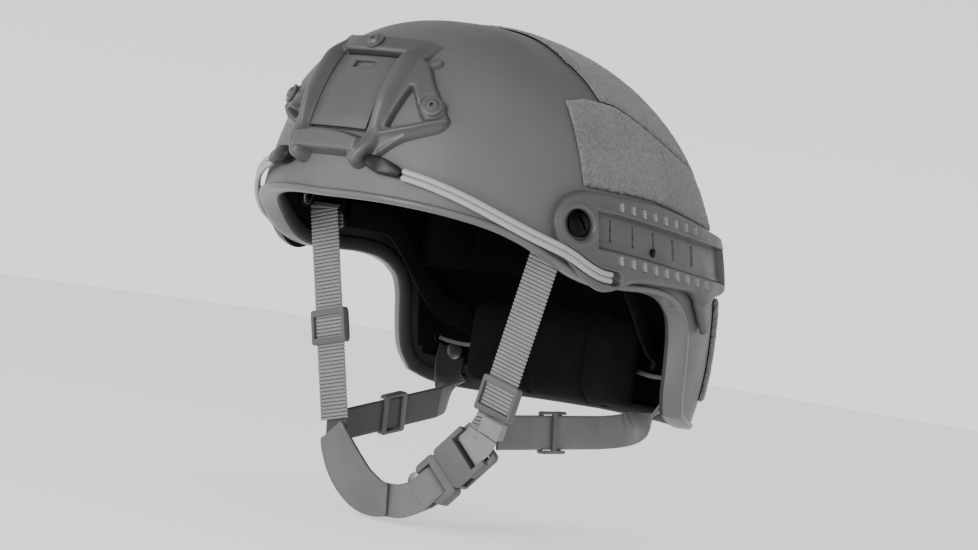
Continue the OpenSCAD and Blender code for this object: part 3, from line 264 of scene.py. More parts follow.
def directions(path, ring=False):
    if ring:
        return unit(np.roll(path, -1, axis=0) - np.roll(path, 1, axis=0))
    ends = np.concatenate([path[:1], path, path[-1:]])
    return unit(ends[2:] - ends[:-2])


def swept(path, sides, outline):
    """Sections of an outline of [side, out] pairs carried along path. The outline may differ along it."""
    t = directions(path)
    w = unit(sides - np.sum(sides * t, axis=1, keepdims=True) * t)
    n = np.cross(t, w)
    outline = np.broadcast_to(np.asarray(outline, float), (len(path),) + np.shape(outline)[-2:])
    return path[:, None] + outline[..., :1] * w[:, None] + outline[..., 1:] * n[:, None]


def evenly(path, step, *others):
    """Path and what goes with it, taken again at even steps of its length."""
    so_far = np.concatenate([[0], np.cumsum(np.linalg.norm(np.diff(path, axis=0), axis=1))])
    s = np.linspace(0, so_far[-1], max(int(so_far[-1] / step), 2) + 1)

    def taken(values):
        return np.stack([np.interp(s, so_far, column) for column in values.T], -1)

    return s, *map(taken, (path, *others))


def round_bar(name, path, wide, high, count):
    """A bar of oval section along a path, wide and high from its middle to its sides at each point."""
    turn = np.linspace(0, 2 * np.pi, count, endpoint=False)
    outline = np.stack([wide[:, None] * np.cos(turn), high[:, None] * np.sin(turn)], -1)
    return tube(name, swept(path, np.tile([0, 0, 1.0], (len(path), 1)), outline))


# Materials


class Nodes:
    """A material's node tree, with short calls for the nodes that the finishes share."""

    def __init__(self, name, colour, rough, metallic=0.0, sheen=0.0, gloss=0.32):
        self.mat = bpy.data.materials.new(name)
        self.mat.use_nodes = True
        self.tree = self.mat.node_tree
        self.shader = self.tree.nodes["Principled BSDF"]
        self.shader.inputs["Base Color"].default_value = (*colour, 1)
        self.shader.inputs["Roughness"].default_value = rough
        self.shader.inputs["Metallic"].default_value = metallic
        self.shader.inputs["Sheen Weight"].default_value = sheen
        self.shader.inputs["Specular IOR Level"].default_value = gloss
        self.colour = colour
        self.place = self.tree.nodes.new("ShaderNodeTexCoord").outputs["Object"]

    def link(self, a, b):
        self.tree.links.new(a, b)

    def noise(self, size, detail=3.0, stretch=(1, 1, 1)):
        """Noise whose features are size mm across."""
        mapping = self.tree.nodes.new("ShaderNodeMapping")
        mapping.inputs["Scale"].default_value = stretch
        self.link(self.place, mapping.inputs["Vector"])
        node = self.tree.nodes.new("ShaderNodeTexNoise")
        node.inputs["Scale"].default_value = 1 / (size * MM)
        node.inputs["Detail"].default_value = detail
        self.link(mapping.outputs[0], node.inputs["Vector"])
        return node.outputs["Fac"]

    def cells(self, size):
        node = self.tree.nodes.new("ShaderNodeTexVoronoi")
        node.feature = "DISTANCE_TO_EDGE"
        node.inputs["Scale"].default_value = 1 / (size * MM)
        self.link(self.place, node.inputs["Vector"])
        return node.outputs["Distance"]

    def span(self, value, low, high, lo=0.35, hi=0.65):
        """Value taken from lo..hi to low..high."""
        node = self.tree.nodes.new("ShaderNodeMapRange")
        for key, number in (("From Min", lo), ("From Max", hi), ("To Min", low), ("To Max", high)):
            node.inputs[key].default_value = number
        self.link(value, node.inputs["Value"])
        return node.outputs["Result"]

    def shade(self, *factors):
        """Colours the base by grey factors multiplied together."""
        node = self.tree.nodes.new("ShaderNodeMix")
        node.data_type, node.blend_type = "RGBA", "MULTIPLY"
        node.inputs["Factor"].default_value = 1.0
        node.inputs["A"].default_value = (*self.colour, 1)
        total = factors[0]
        for f in factors[1:]:
            times = self.tree.nodes.new("ShaderNodeMath")
            times.operation = "MULTIPLY"
            self.link(total, times.inputs[0])
            self.link(f, times.inputs[1])
            total = times.outputs[0]
        self.link(total, node.inputs["B"])
        self.link(node.outputs["Result"], self.shader.inputs["Base Color"])

    def rough(self, value):
        self.link(value, self.shader.inputs["Roughness"])

    def edges(self, low, high):
        """Painted highlight along ridges and painted shade in grooves, from the mesh's pointiness."""
        geometry = self.tree.nodes.new("ShaderNodeNewGeometry")
        return self.span(geometry.outputs["Pointiness"], low, high, 0.46, 0.54)

    def bump(self, *layers):
        """Layers of (value, height in mm), from coarse to fine."""
        before = None
        for value, height in layers:
            node = self.tree.nodes.new("ShaderNodeBump")
            node.inputs["Strength"].default_value = 1.0
            node.inputs["Distance"].default_value = height * MM
            self.link(value, node.inputs["Height"])
            if before is not None:
                self.link(before, node.inputs["Normal"])
            before = node.outputs["Normal"]
        self.link(before, self.shader.inputs["Normal"])


def grey(level):
    """A grey of that sRGB level, 0 to 255, as a linear colour."""
    v = level / 255
    v = v / 12.92 if v <= 0.04045 else ((v + 0.055) / 1.055) ** 2.4
    return (v, v, v * 0.985)


def coat_finish():
    n = Nodes("shell_coat", grey(84), 0.5)
    n.shade(n.span(n.noise(60, 2), 0.95, 1.05), n.span(n.noise(1.1, 2), 0.97, 1.03))
    n.rough(n.span(n.noise(25, 3), 0.44, 0.56))
    n.bump((n.noise(1.3, 2), 0.03), (n.noise(0.35, 2), 0.02))
    return n.mat


def moulded_finish(name, level, rough, ridge_highlight=1.06, gloss=0.32):
    n = Nodes(name, grey(level), rough, gloss=gloss)
    # Ridges get a painted highlight and grooves a painted shade
    n.shade(n.span(n.noise(40, 2), 0.95, 1.05), n.edges(0.93, ridge_highlight))
    n.rough(n.span(n.noise(12, 3), rough - 0.06, rough + 0.06))
    n.bump((n.noise(0.5, 2), 0.018), (n.noise(6, 2), 0.03))
    return n.mat


def rubber_finish():
    n = Nodes("rubber_trim", grey(84), 0.34)
    n.shade(n.span(n.noise(30, 2), 0.95, 1.05))
    n.bump((n.noise(0.8, 2), 0.02),)
    return n.mat


def steel_finish(name, level, rough):
    n = Nodes(name, grey(level), rough, metallic=0.9)
    n.shade(n.span(n.noise(8, 4), 0.88, 1.1))
    n.bump((n.noise(0.6, 3), 0.012),)
    return n.mat


def pile_finish():
    n = Nodes("loop_pile", grey(98), 0.92, sheen=0.25)
    # The fine tone across the tufts is painted shade and light of the tufts; the coarse tone varies at random
    n.shade(n.span(n.noise(1.6, 3), 0.72, 1.22), n.span(n.noise(22, 3), 0.92, 1.08))
    n.bump((n.noise(1.5, 3), 0.5), (n.noise(0.5, 3), 0.25))
    return n.mat


def pad_finish(name, level, weave):
    n = Nodes(name, grey(level), 0.9, sheen=0.01, gloss=0.1)
    n.shade(n.span(n.noise(18, 3), 0.75, 1.2))
    n.bump((n.noise(9, 3), 0.4), (n.noise(weave, 2), 0.12))
    return n.mat


def web_finish(name, level, rough):
    n = Nodes(name, grey(level), rough, sheen=0.15)
    n.shade(n.span(n.noise(14, 3), 0.93, 1.06), n.span(n.noise(0.45, 2), 0.88, 1.08))
    n.bump((n.noise(0.45, 2), 0.08),)
    return n.mat


def hide_finish():
    n = Nodes("cup_hide", grey(84), 0.5)
    n.shade(n.span(n.noise(20, 3), 0.92, 1.06))
    n.bump((n.span(n.cells(1.6), 0, 1, 0, 0.12), 0.05), (n.noise(7, 2), 0.15))
    return n.mat


def cord_finish():
    n = Nodes("cord", grey(146), 0.42, sheen=0.1)
    n.shade(n.span(n.noise(0.9, 2, (1, 1, 3)), 0.86, 1.08))
    n.bump((n.noise(0.8, 2, (1, 1, 3)), 0.1),)
    return n.mat


FINISH = {
    "shell_coat": coat_finish(),
    "rubber_trim": rubber_finish(),
    "grey_plastic": moulded_finish("grey_plastic", 65, 0.4, 1.35),
    "black_plastic": moulded_finish("black_plastic", 12, 0.34, 1.2, 0.22),
    "black_steel": steel_finish("black_steel", 20, 0.24),
    "bare_steel": steel_finish("bare_steel", 130, 0.34),
    "loop_pile": pile_finish(),
    "black_pad": pad_finish("black_pad", 9, 0.7),
    "liner_foam": pad_finish("liner_foam", 9, 0.5),
    "grey_webbing": web_finish("grey_webbing", 112, 0.6),
    "dark_webbing": web_finish("dark_webbing", 45, 0.5),
    "cup_hide": hide_finish(),
    "cord": cord_finish(),
}
# The shell's grey inside, painted near-black as painted shade
SHELL_INSIDE_SHADE = pad_finish("shell_inside_painted_shade", 10, 1.2)
# A darker grey for the shell's inside by the ear cuts, as painted shade
SHELL_EDGE_SHADE = moulded_finish("shell_edge_painted_shade", 44, 0.6, 1.06, 0.2)
# The trim's inside lap in a darker grey, as painted shade
LAP_SHADE = moulded_finish("lap_painted_shade", 48, 0.5, 1.06, 0.2)
# Near-black for the rail's slots and notch pits, as painted shade
SLOT_SHADE = moulded_finish("slot_painted_shade", 5, 0.8, 1.0, 0.05)
# A lighter grey for the notch floors, as painted light on faces turned to the lamp
NOTCH_LIT = moulded_finish("notch_painted_light", 116, 0.4, 1.1)
# A darker grey for the shroud's recess floor, as painted shade
RECESS_SHADE = moulded_finish("recess_floor_painted_shade", 42, 0.5, 1.2, 0.2)
# Near-black for the gaps between webbing ribs, as painted shade
WEB_GAP_SHADE = web_finish("web_gap_painted_shade", 16, 0.9)
# A mid grey webbing: painted light on the left rear strap, also used for the plug strap
WEB_MID_GREY = web_finish("web_mid_grey", 88, 0.5)
LACE_GREY = web_finish("lace_grey", 70, 0.7)


def dress(obj, slot, body, *nodes):
    """Gives a made piece its finish and body, and has it stand for CAD nodes."""
    obj.data.materials.clear()
    obj.data.materials.append(FINISH[slot])
    if body:
        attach(obj, body)
    if nodes:
        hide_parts(*nodes)
    return obj


def second_finish(obj, finish, chosen=True):
    """Gives the chosen faces of obj, or all of them, another finish."""
    numbers = np.zeros(len(obj.data.polygons), np.int32)
    obj.data.polygons.foreach_get("material_index", numbers)
    numbers[np.asarray(chosen)] = len(obj.data.materials)
    obj.data.materials.append(finish)
    obj.data.polygons.foreach_set("material_index", numbers)


def soften(obj, width, angle=40, segments=2):
    """Rounds the sharp edges of a rigid piece."""
    weld = obj.modifiers.new("weld", "WELD")
    weld.merge_threshold = 0.02 * MM
    bevel = obj.modifiers.new("round", "BEVEL")
    bevel.width = width * MM
    bevel.segments = segments
    bevel.limit_method = "ANGLE"
    bevel.angle_limit = math.radians(angle)
    bevel.harden_normals = True


def applied(obj):
    """Applies every modifier of obj."""
    bpy.context.view_layer.update()
    mesh = bpy.data.meshes.new_from_object(obj.evaluated_get(bpy.context.evaluated_depsgraph_get()))
    obj.modifiers.clear()
    obj.data = mesh


def remeshed(obj, voxel, rounds):
    """Gives obj an even skin of voxel mm, smoothed over some rounds."""
    made = obj.modifiers.new("remesh", "REMESH")
    made.mode = "VOXEL"
    made.voxel_size = voxel * MM
    after = obj.modifiers.new("smooth", "SMOOTH")
    after.factor = 0.5
    after.iterations = rounds
    applied(obj)
    obj.data.shade_smooth()
    return obj


def joined(name, objs):
    """One object from several meshes."""
    bm = bmesh.new()
    for o in objs:
        bm.from_mesh(o.data)
        bpy.data.objects.remove(o)
    mesh = bpy.data.meshes.new(name)
    bm.to_mesh(mesh)
    bm.free()
    return placed(name, mesh)


def flipped(name, obj):
    """A mirror image of obj across the middle plane, for the wearer's right side."""
    mesh = obj.data.copy()
    mesh.transform(Matrix.Diagonal((-1, 1, 1, 1)))
    mesh.flip_normals()
    return placed(name, mesh)


# Shell and its edge trim

BROW = [[0, 8], [15, 8.3], [29, 6.5], [41, 3], [50, -2], [58, -8.5], [66, -14.5], [75, -17.5]]
EAR_TOP = [[87, -17.2], [98, -16.5], [107, -17.8], [113, -21.5]]
RIM_FRONT = curve([*BROW, *EAR_TOP], 8)
RIM_EDGE = curve([[113, -21.5], [117, -28], [119, -38], [120, -50], [121, -62], [122.6, -73], [126, -83]], 6)
RIM_UNDER = curve([[126, -83], [134, -88.3], [146, -90], [163, -89.2], [180, -88.5]], 8)
SHELL_ROWS = 54
# The band of the shell's inside beside the ear cuts, painted a darker grey as painted shade, lighter than the
# near-black painted shade further in: its width in mm and the angles it runs between
EDGE_BAND, EDGE_FROM, EDGE_TO = 13, 84, 152
# The trim's round edge: places across the wall, 0 outside and 1 inside, and how far below it in its thickness
TRIM_ROUND = ((-0.12, 0.62), (-0.02, 0.92), (0.12, 1.08), (0.5, 1.15), (0.88, 1.08), (1.02, 0.92), (1.1, 0.6))
# The faces of the trim that lie on its lap inside
LAP_FACES = range(10, 16)


def both_sides(half):
    """A closed line of [psi, z] from its half on the wearer's left."""
    return np.concatenate([half, (half * [-1, 1] + [360, 0])[-2:0:-1]])


def rim_loop():
    return both_sides(np.concatenate([RIM_FRONT, RIM_EDGE[1:], RIM_UNDER[1:]]))


def shell_skin(off):
    """Grids of the dome and of the flap behind the ear cuts, off mm outside the shell's face."""
    ratio = (RIM_UNDER[:, 0] - RIM_UNDER[0, 0]) / (180 - RIM_UNDER[0, 0])
    corner, level = RIM_EDGE[0]
    top = np.stack([corner + ratio * (180 - corner), np.full(len(ratio), level)], -1)
    base = both_sides(np.concatenate([RIM_FRONT, top[1:]]))
    climb = np.sin(np.pi / 2 * np.arange(SHELL_ROWS + 1) / SHELL_ROWS)[:, None]
    dome = on_dome(base[None, :, 0], mix(base[None, :, 1], CROWN + off, climb), off)
    drop = (RIM_EDGE[:, 1:] - level) / (RIM_EDGE[-1, 1] - level)
    psi = RIM_EDGE[:, :1] + ratio[None] * (180 - RIM_EDGE[:, :1])
    z = mix(level, RIM_UNDER[None, :, 1], drop)
    psi = np.concatenate([psi, 360 - psi[:, -2::-1]], axis=1)
    z = np.concatenate([z, z[:, -2::-1]], axis=1)
    return dome, on_dome(psi, z, off)


def make_shell():
    points, faces, rims = [], [], []
    start, n = 0, len(RIM_FRONT)
    for off in (0.0, -SHELL_T):
        inner_from = len(faces)
        dome, flap = shell_skin(off)
        cols = dome.shape[1]
        dome[-1] = dome[-1].mean(axis=0)
        a = start + numbered(SHELL_ROWS, cols)
        pole = a.max() + 1
        fan = [(*pair, pole) for pair in zip(a[-1], np.roll(a[-1], -1))]
        f = pole + 1 + numbered(len(flap) - 1, flap.shape[1])
        f = np.concatenate([a[0, n - 1 : n - 1 + flap.shape[1]][None], f])
        points += [dome[:-1].reshape(-1, 3), dome[-1:, 0], flap[1:].reshape(-1, 3)]
        faces += [*ring_quads(a), *fan, *quads_of(f)]
        rims.append(np.concatenate([a[0, :n], f[1:, 0], f[-1, 1:], f[-2:0:-1, -1], a[0, cols - n + 1 :]]))
        start = f.max() + 1
    inner_to = len(faces)
    outer, inner = rims
    faces += list(np.stack([outer, np.roll(outer, -1), np.roll(inner, -1), inner], -1))
    shell = mesh_object("helmet_shell", np.concatenate(points), faces)
    soften(shell, 1.2, 50, 3)
    dress(shell, "shell_coat", "helmet", "shell")
    # The shell's inside faces, painted near-black as painted shade
    inside_faces = np.zeros(len(faces), bool)
    inside_faces[inner_from:inner_to] = True
    second_finish(shell, SHELL_INSIDE_SHADE, inside_faces)
    # The inside near the rim by the ear cuts gets a darker grey as painted shade
    second_finish(shell, SHELL_EDGE_SHADE, inside_faces & edge_band(shell))


def edge_band(shell):
    """Which faces of the shell lie near its rim beside the ear cuts."""
    rim = rim_loop()
    rim = on_dome(rim[:, 0], rim[:, 1], -SHELL_T)
    middles = np.array([f.center for f in shell.data.polygons]) / MM
    near = np.array([np.linalg.norm(rim - m, axis=1).min() < EDGE_BAND for m in middles])
    psi = np.degrees(np.arctan2(np.abs(middles[:, 0]), -middles[:, 1]))
    return near & (psi > EDGE_FROM) & (psi < EDGE_TO)


def make_trim():
    """A bead round the rim: its outer lip, its round edge and the lap inside."""
    p = rim_loop()
    o, k = on_dome(p[:, 0], p[:, 1]), on_dome(p[:, 0], p[:, 1], -SHELL_T)
    up = unit(np.cross(unit(o - k), directions(o, ring=True)))
    lip, lap = TRIM_LIP * up, TRIM_LAP * up
    g, e, h = SEAT, TRIM_T, -SHELL_T - SEAT - 0.35
    ring = [settle(o + lip, g), settle(o + lip, g + e * 0.2), settle(o + (TRIM_LIP + 0.5) * up, g + e * 0.5)]
    ring += [settle(o + lip, g + e), settle(o - (g + e) * 0.25 * up, g + e)]
    ring += [mix(o, k, across) - (g + e * down) * up for across, down in TRIM_ROUND]
    ring += [settle(k - (g + e) * 0.2 * up, h - e), settle(k + lap, h - e)]
    ring += [settle(k + (TRIM_LAP + 0.7) * up, h - e * 0.5)]
    ring += [settle(k + lap, h), settle(k - g * up, h), settle(o - g * up, g)]
    trim = tube("edge_trim_bead", np.stack(ring, 1), ring=True)
    dress(trim, "rubber_trim", "helmet", "edge_trim")
    # The lap faces are darkened as painted shade
    second_finish(trim, LAP_SHADE, np.tile(np.isin(np.arange(len(ring)), LAP_FACES), len(o)))


# Side rails: one dense height field from the bolt's lobe to the tail, with everything cut into it

# Heights and depths are in mm from the shell, and places along the rail in degrees of psi
RAIL_T, CHANNEL_DEEP, CHANNEL_H, CHANNEL_Z = 7.5, 3.6, 19.0, 11.0
RAIL_START, RAIL_END, NOSE = 58.0, 141.0, 12
SHOULDER_LOW, SHOULDER_HIGH, SHOULDER_REAR = 3.4, 2.2, 0.8
BOLT_PSI, BOLT_Z = 64.9, 11.2
DISH_R, DISH_FLOOR_R, DISH_DEEP, DISH_RING_R, DISH_RING_H = 8.7, 7.75, 4, 10.3, 0.75
OVER_TRIM_Z = -5.5
NOTCHES, NOTCH_START, NOTCH_PITCH, NOTCH_H, NOTCH_DEEP = 8, 80.5, 5.2, 5.2, 3.2
# A notch runs from its front, past its steep wall, to its back, and its floor rises by NOTCH_RISE a mm
NOTCH_FRONT, NOTCH_WALL, NOTCH_BACK, NOTCH_RISE = -2.4, -1.5, 1.8, 0.8
NOTCH_GAP, NOTCH_FALL, NO_NOTCH = 4.6, 0.55, -9.0
SLOTS, SLOT_START, SLOT_PITCH, SLOT_HALF_W, SLOT_HALF_H = 5, 77.2, 9.9, 1.1, 5.5
SLOT_FLOOR = 0.45
CORD_R = 1.6
# The lip over the channel and the bank beside the cord's groove
LIP_H, BANK_H = 0.7, 0.7
# Millimetres along the temple for one degree of psi, on the rail and at the bolt
PSI_MM, BOLT_PSI_MM = 1.86, 1.9
LOBE = [[58.5, -2.6], [61, -4.2], [64, -6.6], [67, -9.5], [70, -11.8], [73, -13.2], [76.5, -13.6]]
GROOVE = np.array([[56.5, -1.6], *LOBE, [77.9, -13.7]]) * [PSI_MM, 1]


def rail_fall(psi):
    return -6.5 * fade(psi, 66, 140)


def nose(psi):
    return np.sqrt(np.maximum(1 - (np.maximum(RAIL_START + NOSE - psi, 0) / 12.2) ** 2, 0))


def rail_high(psi):
    return mix(BOLT_Z, 30, nose(psi)) - 9 * fade(psi, 96, 141)


def rail_low(psi):
    lobe = 8 * np.exp(-(((psi - 75) / 8.5) ** 2))
    tail = 7 * np.exp(-(((psi - 122.6) / 4.4) ** 2))
    return mix(BOLT_Z, -13.5 - lobe, nose(psi)) + 5 * fade(psi, 130, 141) - tail


def top_at(psi):
    return CHANNEL_Z + CHANNEL_H / 2 + rail_fall(psi)


def low_at(psi):
    return CHANNEL_Z - CHANNEL_H / 2 + rail_fall(psi)


def to_stretch(x, z, a, b):
    """The nearest place to each point on the stretch from a to b, 0 to 1 along it, and how far off it is."""
    d = b - a
    t = np.clip(((x - a[0]) * d[0] + (z - a[1]) * d[1]) / (d @ d), 0, 1)
    return t, np.hypot(x - a[0] - t * d[0], z - a[1] - t * d[1])


def near_line(x, z, line):
    """Distance in mm from points to an open line, with how far along it the nearest place is."""
    best, at, run = np.full(x.shape, 1e9), np.zeros(x.shape), 0.0
    for a, b in zip(line[:-1], line[1:]):
        t, gap = to_stretch(x, z, a, b)
        length = np.hypot(*(b - a))
        at = np.where(gap < best, run + t * length, at)
        best = np.minimum(best, gap)
        run += length
    return best, at


def notches(psi, z):
    """How far behind its notch's middle a point lies, or NO_NOTCH outside the notches."""
    found = np.full(np.broadcast(psi, z).shape, NO_NOTCH)
    rows = [(i, top_at(NOTCH_START) + NOTCH_GAP, 0.0, 0.1) for i in range(NOTCHES)]
    rows += [(i, low_at(NOTCH_START) - NOTCH_GAP, -0.8, -0.1) for i in range(NOTCHES + 1)]
    for i, centre, ahead, lean in rows:
        up = z - (centre - NOTCH_FALL * i)
        skew = (psi - (NOTCH_START + ahead + NOTCH_PITCH * i)) * PSI_MM - lean * up
        inside = (skew > NOTCH_FRONT) & (skew < NOTCH_BACK) & (np.abs(up) < NOTCH_H / 2)
        found = np.where(inside, skew, found)
    return found


def rail_block(psi, z):
    """The rail's full height at a place, and its face there before anything is cut."""
    full = RAIL_T * mix(0.55, 1, nose(psi)) * mix(1, 0.75, fade(psi, 134, RAIL_END))
    edge = np.minimum((z - rail_low(psi)) / SHOULDER_LOW, (rail_high(psi) - z) / SHOULDER_HIGH)
    edge = np.minimum(edge, (RAIL_END - psi) * SHOULDER_REAR)
    return full, full * mix(0.42, 1, np.sqrt(1 - (1 - np.clip(edge, 0, 1)) ** 2))


def channel(psi, z, full, h):
    """Cuts the channel, with a raised lip above it and a floor that rises to its lower edge."""
    top, low = top_at(psi), low_at(psi)
    on = fade(psi, 70.9, 71.3) * (1 - fade(psi, 134.3, 134.7))
    h = h + on * LIP_H * fade(z, top - 0.2, top + 0.1) * (1 - fade(z, top + 0.4, top + 4.5))
    floor = full - CHANNEL_DEEP + 0.9 * fade(z, low + 5, low)
    cut = on * fade(z, low - 1.4, low + 0.5) * (1 - fade(z, top - 0.35, top))
    return mix(h, np.minimum(floor, h), cut)


def bolt_dish(psi, z, h):
    """Sinks the dish of the bolt, with a raised ring round it."""
    bolt = np.hypot((psi - BOLT_PSI) * BOLT_PSI_MM, z - BOLT_Z)
    ring = DISH_RING_H * np.exp(-((bolt - DISH_RING_R) ** 2))
    h = h + ring * (0.45 + 0.55 * fade(psi, BOLT_PSI - 2, BOLT_PSI + 3))
    floor = RAIL_T - DISH_DEEP + np.clip((bolt - DISH_FLOOR_R) / (DISH_R - DISH_FLOOR_R), 0, 1) * 4.2
    return np.where(bolt < DISH_R, np.minimum(h, floor), h)


def cord_groove(psi, z, h):
    """Sinks the groove that the bungee lies in, with a raised bank beside its rear half."""
    gap, run = near_line(psi * PSI_MM, z, GROOVE)
    reach = CORD_R * 2 + 0.55
    h = h + BANK_H * np.exp(-(((gap - reach - 0.9) / 0.8) ** 2)) * fade(run, 30, 37)
    floor = RAIL_T - 3.2 + 1.6 * (gap / reach) ** 4
    return mix(np.minimum(h, floor), h, fade(gap, reach - 0.25, reach + 0.1))


def slots(psi, z, h):
    """Cuts the slots in the channel's floor, down to SLOT_FLOOR."""
    for i in range(SLOTS):
        centre = SLOT_START + SLOT_PITCH * i
        up = z - (CHANNEL_Z + rail_fall(centre) + 0.5)
        cut = (np.abs((psi - centre) * PSI_MM - 0.06 * up) < SLOT_HALF_W) & (np.abs(up) < SLOT_HALF_H)
        h = np.where(cut, SLOT_FLOOR, h)
    return h


def rail_face(psi, z):
    """How far the rail's face stands from the shell."""
    full, h = rail_block(psi, z)
    h = channel(psi, z, full, h)
    skew = notches(psi, z)
    notched = np.minimum(h, full - NOTCH_DEEP + (skew - NOTCH_FRONT) * NOTCH_RISE)
    h = np.where(skew > NO_NOTCH, notched, h)
    return slots(psi, z, cord_groove(psi, z, bolt_dish(psi, z, h)))


def rail_tail():
    """The tail that runs from the rail's lower edge down beside the ear cut."""
    line = curve([[120.8, -10], [122.5, -17], [125.5, -26], [128, -32.8]], 10)
    spots = on_dome(line[:, 0], line[:, 1], 0)
    normals = dome_normal(line[:, 0], line[:, 1])
    half = mix(5.6, 4.9, np.linspace(0, 1, len(line)))
    side = [(1.0, 1.5), (1.0, 3.8), (0.86, 4.9), (0.6, 5.4)]
    cut = [(-1.0, 1.5), *side, *((-across, out) for across, out in side[:0:-1])]
    outline = np.array([[(across * h, out) for across, out in cut] for h in half])
    return remeshed(tube("tail", swept(spots, np.cross(normals, directions(spots)), outline)), 0.7, 5)


def marked_faces(mark, count):
    """The faces of a grid with marked points at two opposite corners, as a mask over count faces."""
    chosen = np.zeros(count, bool)
    across = (mark[:-1, :-1] & mark[1:, 1:]) | (mark[1:, :-1] & mark[:-1, 1:])
    chosen[: across.size] = across.ravel()
    return chosen


def make_rails():
    lead = RAIL_START + NOSE * (1 - np.cos(np.linspace(0, np.pi / 2, 60)))
    psi = np.concatenate([lead, np.arange(70.2, RAIL_END, 0.19), [RAIL_END]])
    v = np.linspace(0, 1, 134)
    grid_psi = np.repeat(psi[:, None], len(v), 1)
    z = mix(rail_low(grid_psi), rail_high(grid_psi), v[None])
    high = rail_face(grid_psi, z)
    under = np.where(z < OVER_TRIM_Z, 2 * SEAT + TRIM_T + 0.4, SEAT + 0.15)
    body = relief("rail_skin_left", on_dome(grid_psi, z, high), on_dome(grid_psi, z, under))
    left = joined("rail_skin_left", [body, rail_tail()])
    left.data.shade_smooth()
    right = flipped("rail_skin_right", left)
    skew = notches(grid_psi, z)
    # Slots and the deep fronts of the notches, painted near-black as painted shade
    deep = ((high < SLOT_FLOOR + 0.2) & (grid_psi > 74)) | ((skew > NO_NOTCH) & (skew < NOTCH_WALL))
    for rail, node in ((left, "rail_left"), (right, "rail_right")):
        dress(rail, "grey_plastic", "helmet", node)
        second_finish(rail, SLOT_SHADE, marked_faces(deep, len(rail.data.polygons)))
        # The notch floors are lightened as painted light
        second_finish(rail, NOTCH_LIT, marked_faces(skew > NOTCH_WALL, len(rail.data.polygons)))


# Front shroud: one moulding, as a dense relief over the brow

BAR_X, CHEEK_X, CHEEK_TOP, FOOT_Z = 19.0, 26.0, 88.0, 27.0
SHROUD_T, CHEEK_T, BAR_Z, WING_X, WING_Z = 4.5, 9.5, 34.0, 47.0, 57.5
RECESS, FLOOR_H, BOSS_R, RIB_H = 21.7, 2.5, 5.3, 0.9
# The grid's step, and the height that counts as part of the shroud
SHROUD_STEP, SHROUD_LEAST = 0.41, 0.3
FRAME = [[24, 91], [31, 83], [36, 79], [42.8, 70], [48.8, 62], [54.2, 54.5], [55.6, 50.8], [53.6, 47]]
FRAME += [[47.5, 43.6], [39.4, 39.3], [34, 34.6], [29, 29.4], [22, 27], [21, 40], [21, 60], [21, 80]]
WINDOW = [[33.2, 67], [31.2, 56], [29.8, 46.6], [31.4, 44.8], [38, 47], [45, 49.8], [45.4, 51.4], [40.6, 58]]
WINDOW += [[35, 66.6]]
RIB = np.array([[30, 32], [34.5, 37], [39.5, 41.2]])
FOOT = np.array([[25, 42], [23.6, 36], [BAR_X + 0.3, FOOT_Z]])
LUG = np.array([[31, 78.5], [37, 82.5]])


def depth_in(x, z, outline):
    """Distance in mm from points to an outline, positive inside it."""
    gap, odd = np.full(x.shape, 1e9), np.zeros(x.shape, bool)
    for a, b in zip(outline, np.roll(outline, -1, axis=0)):
        gap = np.minimum(gap, to_stretch(x, z, a, b)[1])
        if a[1] != b[1]:
            crossing = (z - a[1]) * (b[0] - a[0]) / (b[1] - a[1]) + a[0]
            odd ^= ((a[1] > z) != (b[1] > z)) & (x < crossing)
    return np.where(odd, gap, -gap)


def rounded(points):
    """A closed outline through points, with round corners."""
    return curve([*points, points[0]], 6)[:-1]


def raised(d, high, wall=0.5, ease=1.3):
    """Height of a form at distance d inside its outline: a steep wall and a round shoulder."""
    t = np.clip((d + wall) / (wall + ease), 0, 1)
    return high * np.sqrt(1 - (1 - t) ** 2)


def shroud_wing(x, z, edge, hole):
    """A winged frame with its sloped lower flank, its ribs and the boss of its screw."""
    ridge = 40.2 + (x - 26.8) * 0.36 + 1.2 * fade(x, 40, 52)
    below = np.maximum(ridge - z, 0)
    flank = below / np.maximum(below + np.maximum(edge, 0), 0.01)
    wing = np.minimum(raised(edge, SHROUD_T + 0.6), raised(-hole, 9, 0.3, 1.6))
    wing = wing * (1 - 0.66 * np.clip(flank, 0, 1) ** 0.9)
    wing = wing + RIB_H * np.exp(-(((z - ridge) / 0.8) ** 2)) * (edge > 2)
    wing = wing + RIB_H * np.exp(-((near_line(x, z, RIB)[0] / 0.9) ** 2)) * (edge > 0)
    boss = np.hypot(x - WING_X, z - WING_Z)
    wing = np.where(edge > 0, wing - 1.1 * np.exp(-(((boss - 6.1) / 0.7) ** 2)), wing)
    return np.maximum(wing, raised(BOSS_R - boss, SHROUD_T + 0.8, 0.2, 0.9))


def shroud_cheek(x, z, hole):
    """A cheek of the recess, lower to its outer side and at its ends."""
    slope = mix(1, 0.5, fade(x, 24.5, 31)) * mix(1, 0.55, fade(z, 78, 91)) * mix(0.7, 1, fade(z, 40, 60))
    edge = np.minimum(np.minimum(x - RECESS, 31.5 - x), np.minimum(z - 38, 93 - z))
    return np.minimum(raised(edge, CHEEK_T * slope, 0.2, 0.9), np.where(hole > -0.2, 0, 99))


def shroud_bar(x, z):
    """The crossbar, with an arched top edge."""
    arch = BAR_Z + 5.4 - 2.4 * (x / BAR_X) ** 2
    edge = np.minimum(np.minimum(arch - z, z - (BAR_Z - 5.6)), BAR_X + 1.5 - x)
    return raised(edge, CHEEK_T + 1.1, 0.2, 1.2)


